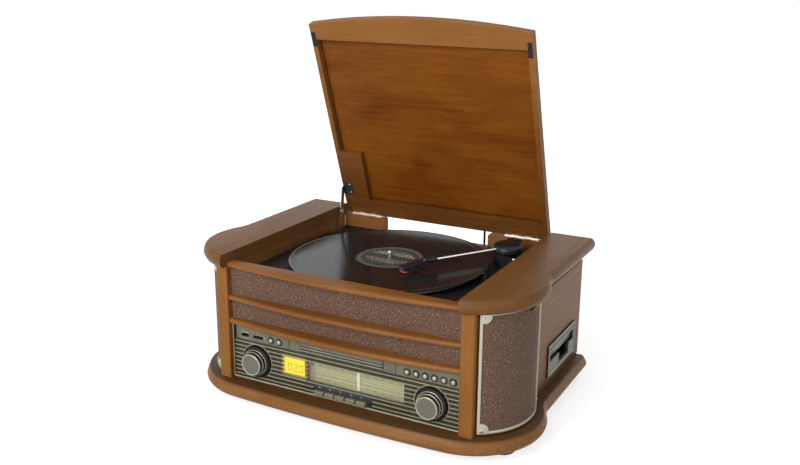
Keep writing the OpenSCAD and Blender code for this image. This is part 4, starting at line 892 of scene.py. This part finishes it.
dial_ink = finish("dial_ink", (0.07, 0.09, 0.04), 0.6, 300.0, 0.2, 0.1)
dial_line = finish("dial_line", (0.62, 0.58, 0.3), 0.5, 300.0, 0.1, 0.1)
dial_red = finish("dial_red", (0.55, 0.12, 0.12), 0.5, 300.0, 0.2, 0.1)
words = [(text, -36 + 12.6 * i, 82.3, 3.6)
         for i, text in enumerate("88 90 92 94 96 98 100 102 104 106 108".split())]
words += [(text, -36 + 12.6 * i, 62.4, 3.6)
          for i, text in enumerate("53 55 60 65 70 80 90 100 120 140 160".split())]
words += [(text, -30 + 18.0 * i, 68.6, 2.6) for i, text in enumerate("6 7 8 9 10 12 15".split())]
dial_dot = turned([(2.6, -0.05), (2.6, 0.08), (0.03, 0.08)], 28) + (-49.4, 82.0, 0)
ticks = [slab((-38 + 2.52 * i, 79.0), (-37.6 + 2.52 * i, 80.2 if i % 5 else 80.8), 0.1,
              ((0, -0.05), (0, 0.06)), 2)
         for i in range(54)]
fit(piece("dial_figures", [(mapped(spots, **DIAL), quads, lids) for spots, quads, lids in printed(words)]
          + [sheet(mapped(rings, **DIAL)) for rings in [dial_dot] + ticks]), "cabinet", dial_ink)
lines = [slab((-44, z), (98.5, z + 0.55), 0.1, ((0, -0.05), (0, 0.07)), 2) for z in (65.2, 71.3, 75.0, 78.2)]
laid_on(DIAL, "dial_lines", lines, "cabinet", dial_line)
red_marks = [slab((-51.5, z), (-46.8, z + 2.0), 0.3, ((0, -0.05), (0, 0.07)), 3) for z in (75.0, 69.2, 63.4)]
laid_on(DIAL, "dial_band_marks", red_marks, "cabinet", dial_red)

POINTER_X = 27.0
pointer_paint, tree, shader = plain_material("pointer_plastic", (0.8, 0.8, 0.75), 0.35)
px, _py, _pz = place_parts(tree)
rim = ramp(tree, apart(tree, px, POINTER_X * MM), 0.0005, 0.0009)
grained(pointer_paint, tree, shader, shade(tree, rim, (0.34, 0.37, 0.2), (0.95, 0.95, 0.88)), 200.0, 0.1,
        0.35, 0.05)
dress(pointer_paint, "dial_pointer")

# ---- Icon strip ----
# A navy plate over the keys that runs down past the last of them, with a small printed mark over each key.
navy = finish("navy_plate", (0.014, 0.018, 0.03), 0.3, 120.0, 0.3, 0.06, Coat_Weight=0.3)
strip_plates = [slab((-44.3, 47.3), (50.4, 55.6), 0.8, ((0, -0.1), (0, 0.9), (0.3, 1.2))),
                slab((43.9, 39.4), (50.4, 48.0), 0.8, ((0, -0.1), (0, 0.9), (0.3, 1.2)))]
laid_on(FRONT, "icon_strip", strip_plates, "cabinet", navy)
STRIP = dict(origin=(0, PANEL_Y - 1.2, 0), across=(1, 0, 0), upward=(0, 0, 1))
THIN = ((0, -0.1), (0, 0.06))
white_marks = [slab((-35.2, 50.2), (-34.0, 53.6), 0.3, THIN, 3),
               slab((-33.2, 50.2), (-32.0, 52.4), 0.3, THIN, 3),
               turned([(1.9, -0.1), (1.9, 0.06), (1.2, 0.06), (1.2, -0.1)], 28) + (-17, 51.8, 0),
               slab((15.4, 50.4), (18.6, 51.4), 0.3, THIN, 3), slab((16.4, 52.0), (17.6, 53.6), 0.3, THIN, 3),
               turned([(1.7, -0.1), (1.7, 0.06), (0.9, 0.06), (0.9, -0.1)], 3) + (33.6, 51.8, 0)]
OPEN_MARKS = (2, 5)
fit(piece("strip_marks", [sheet(mapped(mark, **STRIP), loop=i in OPEN_MARKS)
                          for i, mark in enumerate(white_marks)]), "cabinet", worn_cream)
red_mark = [slab((-0.9, 49.9), (0.9, 52.2), 0.4, THIN, 3),
            turned([(1.9, -0.1), (1.9, 0.06), (0.03, 0.06)], 3) + (0, 52.6, 0)]
laid_on(STRIP, "strip_red_mark", red_mark, "cabinet", dial_red)

# ---- Keys ----
# Five flat keys in dull bronze grey with softly rounded edges; their fronts are a little dished.
key_bronze = finish("key_gold", (0.26, 0.235, 0.15), 0.36, 120.0, 0.25, 0.08, Metallic=0.3)
for i in range(1, 6):
    low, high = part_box(f"key_{i}")
    body = slab((low.x / MM, low.z / MM), (high.x / MM, high.z / MM), 1.0,
                ((0, -8), (0, 4.6), (0.25, 5.4), (0.8, 5.9), (1.5, 6.0), (2.4, 5.75)))
    laid_on(FRONT, f"key_cap_{i}", [body], f"key_{i}", key_bronze, instead_of=[f"key_{i}"])

# ---- Round buttons ----
# Eight domed metal buttons, each in its black collar.
dome_metal = finish("button_metal", (0.42, 0.4, 0.31), 0.24, 150.0, 0.12, 0.05, Metallic=0.35)
BUTTON_DOME = ((5.0, -6.0), (5.0, -5.0), (3.5, -5.0), (3.5, 0.8), (3.35, 1.5), (2.9, 2.15), (2.2, 2.6),
               (1.3, 2.9), (0.6, 2.98), (0.03, 3.0))
for i, x in enumerate(BUTTON_X, 1):
    dome = turned(BUTTON_DOME, 40) + (x, BUTTON_Z, 0)
    laid_on(FRONT, f"button_dome_{i}", [dome], f"button_{i}", dome_metal, 60, [f"button_{i}"])


# ---- Big knobs ----
# Turned knobs: a black ribbed skirt, a bright ring, a dark ribbed waist, and a raised bright rim round a
# brushed grey face.
def from_axis(tree, centre, kept):
    """The distance from an axis through centre; kept is 1 in the two directions across the axis."""
    spot = object_place(tree, move=[-part for part in centre])
    flat = tree_node(tree, "ShaderNodeVectorMath", operation="MULTIPLY", i0=spot, i1=kept).outputs[0]
    return tree_node(tree, "ShaderNodeVectorMath", operation="LENGTH", i0=flat).outputs["Value"]


def in_rings(tree, away, scale, detail):
    """Noise that changes with one measure alone, so that it lies in rings round an axis."""
    noise = tree_node(tree, "ShaderNodeTexNoise", noise_dimensions="1D", W=away, Scale=scale, Detail=detail)
    return noise.outputs["Fac"]


def brushed_face(name, x):
    """A grey metal face turned on a lathe: fine rings round the knob's axis vary its tone and gloss."""
    made, tree, shader = plain_material(name, (0.19, 0.185, 0.15), 0.42, Metallic=0.15,
                                        Specular_IOR_Level=0.3)
    rings = in_rings(tree, from_axis(tree, (x * MM, 0, KNOB_Z * MM), (1, 0, 1)), 2600.0, 2.0)
    tone = shade(tree, ramp(tree, rings, 0.3, 0.7), (0.115, 0.113, 0.085), (0.19, 0.187, 0.145))
    grained(made, tree, shader, tone, 80.0, 0.15, 0.34, 0.03)
    return made


skirt_black = finish("skirt_black", (0.011, 0.011, 0.01), 0.5, 120.0, 0.3, 0.15, Specular_IOR_Level=0.25)
waist_black = finish("waist_black", (0.028, 0.028, 0.02), 0.34, 120.0, 0.2, 0.1, Metallic=0.2)
bright_rim = finish("bright_rim", (0.38, 0.36, 0.29), 0.26, 200.0, 0.1, 0.05, Metallic=0.5)
# radius, height, depth of the flutes, finish of the band above (skirt, waist, bright, face)
KNOB_RINGS = ((23.4, 1.0, 0, 0), (24.0, 1.3, 0.9, 0), (24.0, 4.0, 0.9, 0), (23.0, 5.6, 0.6, 0),
              (22.0, 6.4, 0, 0), (19.6, 6.8, 0, 2), (19.6, 7.5, 0, 2), (19.0, 7.8, 0, 1), (18.4, 7.8, 0.5, 1),
              (18.2, 11.2, 0.5, 1), (17.9, 11.6, 0, 2), (17.2, 11.9, 0, 1), (16.6, 12.0, 0.25, 1),
              (16.5, 16.4, 0.25, 2), (16.2, 17.3, 0, 2), (15.6, 17.9, 0, 2), (14.9, 18.0, 0, 2),
              (14.2, 17.8, 0, 2), (13.8, 17.2, 0, 3), (7.0, 17.15, 0, 3), (0.05, 17.15, 0, 3))
for name, x in (("volume_knob", -KNOB_X), ("tuning_knob", KNOB_X)):
    rings = turned([ring[:2] for ring in KNOB_RINGS], 240, 60, [ring[2] for ring in KNOB_RINGS])
    rings = rings + (x, KNOB_Z, 0)
    shaft = turned([(3.0, -14.0), (3.0, 1.2)], 24) + (x, KNOB_Z, 0)
    made = piece(f"{name}_turned", [sheet(mapped(rings, **FRONT)), sheet(mapped(shaft, **FRONT))], 40)
    fit(made, name, skirt_black, waist_black, bright_rim, brushed_face(f"{name}_face", x), instead_of=[name])
    bands = np.repeat([ring[3] for ring in KNOB_RINGS[:-1]], 240)
    slots = np.zeros(len(made.data.polygons), int)
    slots[:len(bands)] = bands
    slots[len(bands) + 1] = 3
    made.data.polygons.foreach_set("material_index", slots)

# ---- Disc drawer ----
# The drawer's front is plain above a black line and has pale ribs below it; the tray behind it is black
# plastic.
drawer_finish, tree, shader = plain_material("drawer_finish", (0.34, 0.31, 0.23), 0.38)
_px, py, pz = place_parts(tree)
wave = sum_of(tree, "FRACT", sum_of(tree, "MULTIPLY_ADD", pz, 1000 / 4.5, -0.9))
pale_rib = ramp(tree, apart(tree, wave, 0.5), 0.14, 0.24, 1.0, 0.0)
ribs = shade(tree, pale_rib, (0.022, 0.022, 0.011), (0.29, 0.27, 0.19))
face = shade(tree, sum_of(tree, "GREATER_THAN", pz, 0.1068), ribs, (0.015, 0.015, 0.01))
face = shade(tree, sum_of(tree, "GREATER_THAN", pz, 0.1078), face, (0.17, 0.155, 0.105))
front_face = sum_of(tree, "LESS_THAN", py, (PANEL_Y + 2.4) * MM)
grained(drawer_finish, tree, shader, shade(tree, front_face, (0.02, 0.02, 0.02), face), 70.0, 0.25, 0.38,
        0.12)
tree.links.new(sum_of(tree, "MULTIPLY", front_face, 0.12), shader.inputs["Metallic"])
dress(drawer_finish, "cd_drawer")

# ---- Works ----
# Green circuit boards with black sockets and a transformer in a steel frame, and grey pressed frames of the
# disc and cassette mechanisms.
board_green, tree, shader = plain_material("circuit_boards_finish", (0.02, 0.09, 0.04), 0.4)
px, py, _pz = place_parts(tree)
socket = sum_of(tree, "LESS_THAN", py, (PANEL_Y + 13.9) * MM)
iron = sum_of(tree, "MULTIPLY", sum_of(tree, "GREATER_THAN", px, -0.005),
              sum_of(tree, "GREATER_THAN", py, 0.07))
tracks = tree_node(tree, "ShaderNodeTexBrick", Vector=object_place(tree), Scale=90.0,
                   Color1=(0.015, 0.075, 0.03, 1), Color2=(0.02, 0.1, 0.045, 1), Mortar=(0.05, 0.16, 0.07, 1))
colour = shade(tree, iron, shade(tree, socket, tracks.outputs["Color"], (0.015, 0.015, 0.016)),
               (0.2, 0.17, 0.12))
grained(board_green, tree, shader, colour, 90.0, 0.3, 0.42, 0.2)
dress(board_green, "circuit_boards")
grey_works = finish("pressed_grey", (0.11, 0.11, 0.11), 0.42, 60.0, 0.3, 0.15, Metallic=0.5)
dress(grey_works, "cd_mechanism", "cassette_mechanism")

# ---- Cassette ----
# A pewter-coloured bezel with a stepped rim round a slot and a finger notch. In the slot hangs a ribbed flap
# whose lower part is paler.
pewter = finish("pewter", (0.24, 0.235, 0.19), 0.38, 60.0, 0.2, 0.08, Metallic=0.3)
dark_plastic = finish("dark_plastic", (0.035, 0.036, 0.036), 0.4, 90.0, 0.3, 0.15)
bezel_finish, tree, shader = plain_material("bezel_finish", (0.2, 0.2, 0.16), 0.42, Metallic=0.15)
px, _py, pz = place_parts(tree)
ribs = sum_of(tree, "FRACT", sum_of(tree, "MULTIPLY", pz, 1000 / 3.1))
recess = shade(tree, sum_of(tree, "GREATER_THAN", ribs, 0.62), (0.13, 0.128, 0.1), (0.03, 0.03, 0.024))
recess = shade(tree, sum_of(tree, "LESS_THAN", pz, 0.0705), recess, (0.17, 0.168, 0.135))
# Painted shade: wherever the bezel lies more than 1.2 mm inside the side panel's face, in the slot and the
# notch, its colour is near black.
grained(bezel_finish, tree, shader,
        shade(tree, sum_of(tree, "LESS_THAN", px, 0.2335), recess, (0.02, 0.02, 0.018)),
        90.0, 0.3, 0.42, 0.12)
dress(bezel_finish, "cassette_bezel")
flap_finish, tree, shader = plain_material("flap_finish", (0.1, 0.1, 0.08), 0.42)
_px, _py, pz = place_parts(tree)
ribs = sum_of(tree, "FRACT", sum_of(tree, "MULTIPLY", pz, 1000 / 1.6))
dark_ribs = shade(tree, sum_of(tree, "GREATER_THAN", ribs, 0.5), (0.04, 0.04, 0.032), (0.16, 0.158, 0.125))
grained(flap_finish, tree, shader,
        shade(tree, sum_of(tree, "LESS_THAN", pz, 0.0865), dark_ribs, (0.2, 0.2, 0.17)),
        90.0, 0.3, 0.42, 0.12)
dress(flap_finish, "cassette_flap")
SIDE_X = 234.7
RIGHT = dict(origin=(SIDE_X, 0, 0), across=(0, 1, 0), upward=(0, 0, 1))
TAPE_LOW, TAPE_HIGH = (32.0, 51.0), (150.0, 101.0)
rim_rings = np.array([at_height(rounded_rect(TAPE_LOW, TAPE_HIGH, 2.0, i, 6), h) for i, h in
                      ((0, 0.1), (0, 2.0), (0.7, 2.9), (2.2, 3.1), (3.4, 2.6), (4.0, 2.05), (4.0, 1.9))])
lips = [slab((41, 90.0), (141, 92.9), 0.6, ((0, 1.9), (0.2, 2.6), (0.7, 2.8)), 4),
        slab((41, 73.2), (79, 74.4), 0.4, ((0, 1.9), (0.2, 2.5)), 4),
        slab((125, 73.2), (141, 74.4), 0.4, ((0, 1.9), (0.2, 2.5)), 4)]
fit(piece("cassette_bezel_rim", [sheet(mapped(rim_rings, **RIGHT), ends=False)]
          + [sheet(mapped(lip, **RIGHT)) for lip in lips], 40), "cabinet", pewter)

# ---- Deck ----
# Black moulded deck plate; under it the motor, and over it the pulley, belt and platter. A felt mat lies on
# the platter.
deck_black = finish("deck_black", (0.01, 0.01, 0.011), 0.5, 80.0, 0.3, 0.35, Specular_IOR_Level=0.25)
dress(deck_black, "deck_plate")
steel = finish("bright_steel", (0.76, 0.76, 0.76), 0.2, 120.0, 0.1, 0.05, Metallic=1.0)
dress(steel, "drive_motor")
dress(rubber, "drive_belt")
dress(steel, "platter")
felt = finish("felt", (0.014, 0.014, 0.016), 0.95, 500.0, 0.8, 0.8)
dress(felt, "slip_mat")
brass = finish("brass", (0.72, 0.55, 0.28), 0.26, 90.0, 0.25, 0.08, Metallic=0.95)
dress(brass, "motor_pulley")
dress(steel, "speed_switch")

# ---- Record ----
# Black vinyl: fine grooves with smoother bands between the tracks, a thicker rim, and a dark grey paper
# label with a pale ring.
SPINDLE = (-8.9, 6.8)
LABEL_R = 50.0
GROOVED_TO = 0.1465
GROOVE_PITCH = 0.0011
vinyl, tree, shader = plain_material("vinyl", (0.012, 0.012, 0.013), 0.2, Specular_IOR_Level=0.24)
away = from_axis(tree, (SPINDLE[0] * MM, SPINDLE[1] * MM, 0), (1, 1, 0))
tracks = in_rings(tree, away, 95.0, 1.0)
fine_tracks = in_rings(tree, away, 900.0, 3.0)
groove_wave = sum_of(tree, "SINE", sum_of(tree, "MULTIPLY", away, 2 * math.pi / GROOVE_PITCH))
in_label = sum_of(tree, "LESS_THAN", away, LABEL_R * MM)
grooved = sum_of(tree, "MULTIPLY", sum_of(tree, "GREATER_THAN", away, (LABEL_R + 2.4) * MM),
                 sum_of(tree, "LESS_THAN", away, GROOVED_TO))
pale_ring = sum_of(tree, "COMPARE", away, 0.0452, 0.00055)
wide_ring = sum_of(tree, "COMPARE", away, 0.0485, 0.0015)
paper_tone = shade(tree, wide_ring, (0.07, 0.07, 0.066), (0.13, 0.13, 0.12))
paper_tone = shade(tree, pale_ring, paper_tone, (0.32, 0.32, 0.29))
vinyl_tone = shade(tree, ramp(tree, fine_tracks, 0.35, 0.65), (0.008, 0.009, 0.01), (0.024, 0.025, 0.028))
tree.links.new(shade(tree, in_label, vinyl_tone, paper_tone), shader.inputs["Base Color"])
groove_gloss = sum_of(tree, "ADD", ramp(tree, tracks, 0.4, 0.6, 0.12, 0.2),
                      sum_of(tree, "MULTIPLY", in_label, 0.4))
tree.links.new(groove_gloss, shader.inputs["Roughness"])
bump = tree_node(tree, "ShaderNodeBump", Strength=0.3, Distance=0.00003,
                 Height=sum_of(tree, "MULTIPLY", groove_wave, grooved))
tree.links.new(bump.outputs[0], shader.inputs["Normal"])
dress(vinyl, "record")

RECORD_TOP = 199.5 + 1.4 + 2.2
LABEL = dict(origin=(*SPINDLE, RECORD_TOP), across=(1, 0, 0), upward=(0, 1, 0))
label_print = finish("label_print", (0.6, 0.56, 0.4), 0.6, 300.0, 0.3, 0.1)
dashes = []
draw = np.random.default_rng(12)
for v, tall, reach in ((17.5, 4.6, 30), (10.5, 4.6, 36), (-11.0, 1.3, 34), (-15.5, 1.3, 32), (-20.0, 1.3, 27),
                       (-25.0, 1.3, 20), (25.5, 1.2, 24), (30.5, 1.2, 14)):
    u = -reach
    while u < reach - 2:
        wide = float(draw.uniform(2.2, 5.0)) if tall > 2 else float(draw.uniform(2.5, 8.0))
        dashes.append(slab((u, v), (min(u + wide, reach), v + tall), 0.4, ((0, -0.05), (0, 0.03)), 2))
        u += wide + float(draw.uniform(1.0, 2.0))
laid_on(LABEL, "label_dashes", dashes, "turntable", label_print)

# ---- Tonearm ----
# A straight bright tube that runs into a black pivot housing; a slim black headshell carries the cartridge
# and its orange-red stylus holder.
arm_black = finish("arm_black", (0.012, 0.014, 0.018), 0.36, 60.0, 0.3, 0.12, Specular_IOR_Level=0.3)
dress(arm_black, "tonearm_base", "tonearm_pivot", "headshell")
red_holder = finish("stylus_orange", (0.98, 0.17, 0.05), 0.32, 200.0, 0.15, 0.05)
dress(red_holder, "stylus")
dress(steel, "cue_lever")
tube_finish, tree, shader = plain_material("tube_finish", (0.8, 0.79, 0.77), 0.22)
ARM = (137.6, 97.2)
PIVOT_BLOCK_R = 0.0115
past_pivot = sum_of(tree, "GREATER_THAN", from_axis(tree, (ARM[0] * MM, ARM[1] * MM, 0), (1, 1, 0)),
                    PIVOT_BLOCK_R)
is_tube = sum_of(tree, "MULTIPLY", past_pivot, sum_of(tree, "LESS_THAN", place_parts(tree)[0], ARM[0] * MM))
grained(tube_finish, tree, shader, shade(tree, is_tube, (0.016, 0.017, 0.02), (0.85, 0.84, 0.82)), 120.0,
        0.1, 0.24, 0.05)
tree.links.new(is_tube, shader.inputs["Metallic"])
dress(tube_finish, "tonearm")

arm_turn = math.radians(237.1)
ARM_ACROSS = (math.cos(arm_turn), math.sin(arm_turn), 0)
ARM_UP = (-math.sin(arm_turn), math.cos(arm_turn), 0)
PIVOT = dict(origin=(*ARM, 0), across=ARM_ACROSS, upward=ARM_UP)
hood_profile = ((22.6, 211.0), (22.8, 213.5), (22.4, 216.5), (21.2, 219.2), (18.8, 221.4), (15.2, 222.9),
                (10.0, 223.6), (4.0, 223.8), (0.05, 223.8))
inner_profile = [(max(r - 1.4, 0.05), h - 1.4 if i else h) for i, (r, h) in enumerate(hood_profile)]
hood_rings = np.concatenate([turned(inner_profile[::-1], 64), turned(hood_profile, 64)]) + (-5.4, 0, 0)
laid_on(PIVOT, "pivot_hood", [hood_rings], "arm_yoke", arm_black, 40)

shell_marks = [slab((135 + 3.4 * i, -1.6), (137 + 3.4 * i, 1.4), 0.4, ((0, -0.2), (0, 0.1)), 3)
               for i in range(2)]
SHELL = dict(origin=(ARM[0], ARM[1], 218.1), across=ARM_ACROSS, upward=ARM_UP)
laid_on(SHELL, "headshell_marks", shell_marks, "arm", cream_paint)

# ---- Lid ----
# A wide frame round a veneered top panel. Painted shade darkens the frame towards the hinge, so its front
# rail is paler and the rear one darker and redder; the panel's veneer is golden brown with soft dark clouds,
# and painted shade darkens it by its rear and side edges, where the frame stands proud.
lid_wood, tree, shader = plain_material("lid_frame_wood", STAIN_LIGHT, 0.4, Coat_Weight=0.05,
                                        Coat_Roughness=0.3, Specular_IOR_Level=0.12)
_px, _py, pz = place_parts(tree)
# Painted shade: the frame's stain darkens from 0.5 m down to 0.27 m, towards the hinge of the open lid.
painted_light_by_height = ramp(tree, pz, 0.27, 0.5)
grain = veneered(tree, shader, ALONG_X, 0.5, 0.12)
tree.links.new(shade(tree, painted_light_by_height, (0.22, 0.08, 0.018), (0.38, 0.165, 0.043)), grain.inputs["Light"])
tree.links.new(shade(tree, painted_light_by_height, (0.125, 0.042, 0.009), (0.28, 0.108, 0.025)), grain.inputs["Dark"])
dress(lid_wood, "lid_frame")
lid_veneer = wood("lid_panel_wood", (0.31, 0.107, 0.01), (0.155, 0.036, 0.003), 0.62, ALONG_X, 0.0, 0.2)
# Painted shade: the veneer darkens to 0.3 along its rear edge, by the rear rail, and to 0.4 along its side
# edges, beside the side rails.
painted_height_shade(lid_veneer, 0.242, 0.2475, 0.3, 1.0)
tree = lid_veneer.node_tree
panel_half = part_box("lid_panel")[1].x
sideways = sum_of(tree, "ABSOLUTE", place_parts(tree)[0])
painted_shade_by(lid_veneer, ramp(tree, sideways, panel_half - 0.0125, panel_half - 0.009, 1.0, 0.4))
dress(lid_veneer, "lid_panel")
pad_felt = finish("pad_felt", (0.012, 0.014, 0.022), 0.9, 500.0, 0.7, 0.6)
dress(pad_felt, "lid_pads")

# ---- Hinges and stay ----
# Two hinges join lid and back board: bright knuckles, and leaves with painted shade, dark brown like the
# shaded rear rail round them. A slotted steel stay hangs from a dark bracket on the lid and slides on a pin
# in the well.
LID_OPEN = math.radians(70.7)
HINGE = np.array((0, 169.3, 213.1))
LID_REAR = np.array((0, math.cos(LID_OPEN), -math.sin(LID_OPEN)))
LID_OUT = np.array((0, math.sin(LID_OPEN), math.cos(LID_OPEN)))
KNUCKLE_R, BRACKET_FROM = 0.0031, 0.025
fittings, tree, shader = plain_material("fittings_finish", (0.66, 0.5, 0.24), 0.3, Metallic=0.6)
away = from_axis(tree, HINGE * MM, (0, 1, 1))
leaf = sum_of(tree, "GREATER_THAN", away, KNUCKLE_R)
bracket = sum_of(tree, "GREATER_THAN", away, BRACKET_FROM)
# Painted shade: the hinge leaves take the dark brown of the shaded wood round them; the knuckles stay bright
# and the bracket dark green.
metal = shade(tree, bracket, shade(tree, leaf, (0.86, 0.72, 0.62), (0.17, 0.065, 0.016)), (0.03, 0.05, 0.045))
grained(fittings, tree, shader, metal, 90.0, 0.25, 0.3, 0.1)
tree.links.new(ramp(tree, away, KNUCKLE_R, KNUCKLE_R + 0.0001, 0.6, 0.0), shader.inputs["Metallic"])
dress(fittings, "lid_fittings", "hinge_leaves")
dress(steel, "stay_arm")


def under_lid(x, forward, below):
    """A place on the lid's underside, by its distance forward of the hinge axis and its height over that
    axis with the lid closed; the face looks down then."""
    return dict(origin=HINGE + (x, 0, 0) - forward * LID_REAR + below * LID_OUT, across=(1, 0, 0),
                upward=-LID_REAR)


bracket_screws = [mapped(screw_head(2.2, 1.0), **under_lid(-166.0, forward, 1.5)) for forward in (40.5, 55.5)]
fit(piece("bracket_screws", [sheet(screw) for screw in bracket_screws], 30), "lid", nickel)

# ---- Rear ----
# A black plate with the mains inlet and line sockets, a folding aerial, and screws along the back board.
dress(dark_plastic, "rear_sockets")
dress(finish("aerial_steel", (0.05, 0.05, 0.055), 0.28, 150.0, 0.2, 0.05, Metallic=0.7), "aerial")
BACK = dict(across=(-1, 0, 0), upward=(0, 0, 1))
rear_screws = [mapped(screw_head(3.2, 1.3), origin=(x, REAR / MM, z), **BACK)
               for x in (-208, -70, 70, 208) for z in (44, 178)]
plate_screws = [mapped(screw_head(2.4, 1.0), origin=(-90 + x, REAR / MM + 2.0, z), **BACK)
                for x in (-62.5, 62.5) for z in (53, 87)]
fit(piece("rear_screws", [sheet(screw) for screw in rear_screws + plate_screws], 30), "cabinet", nickel)
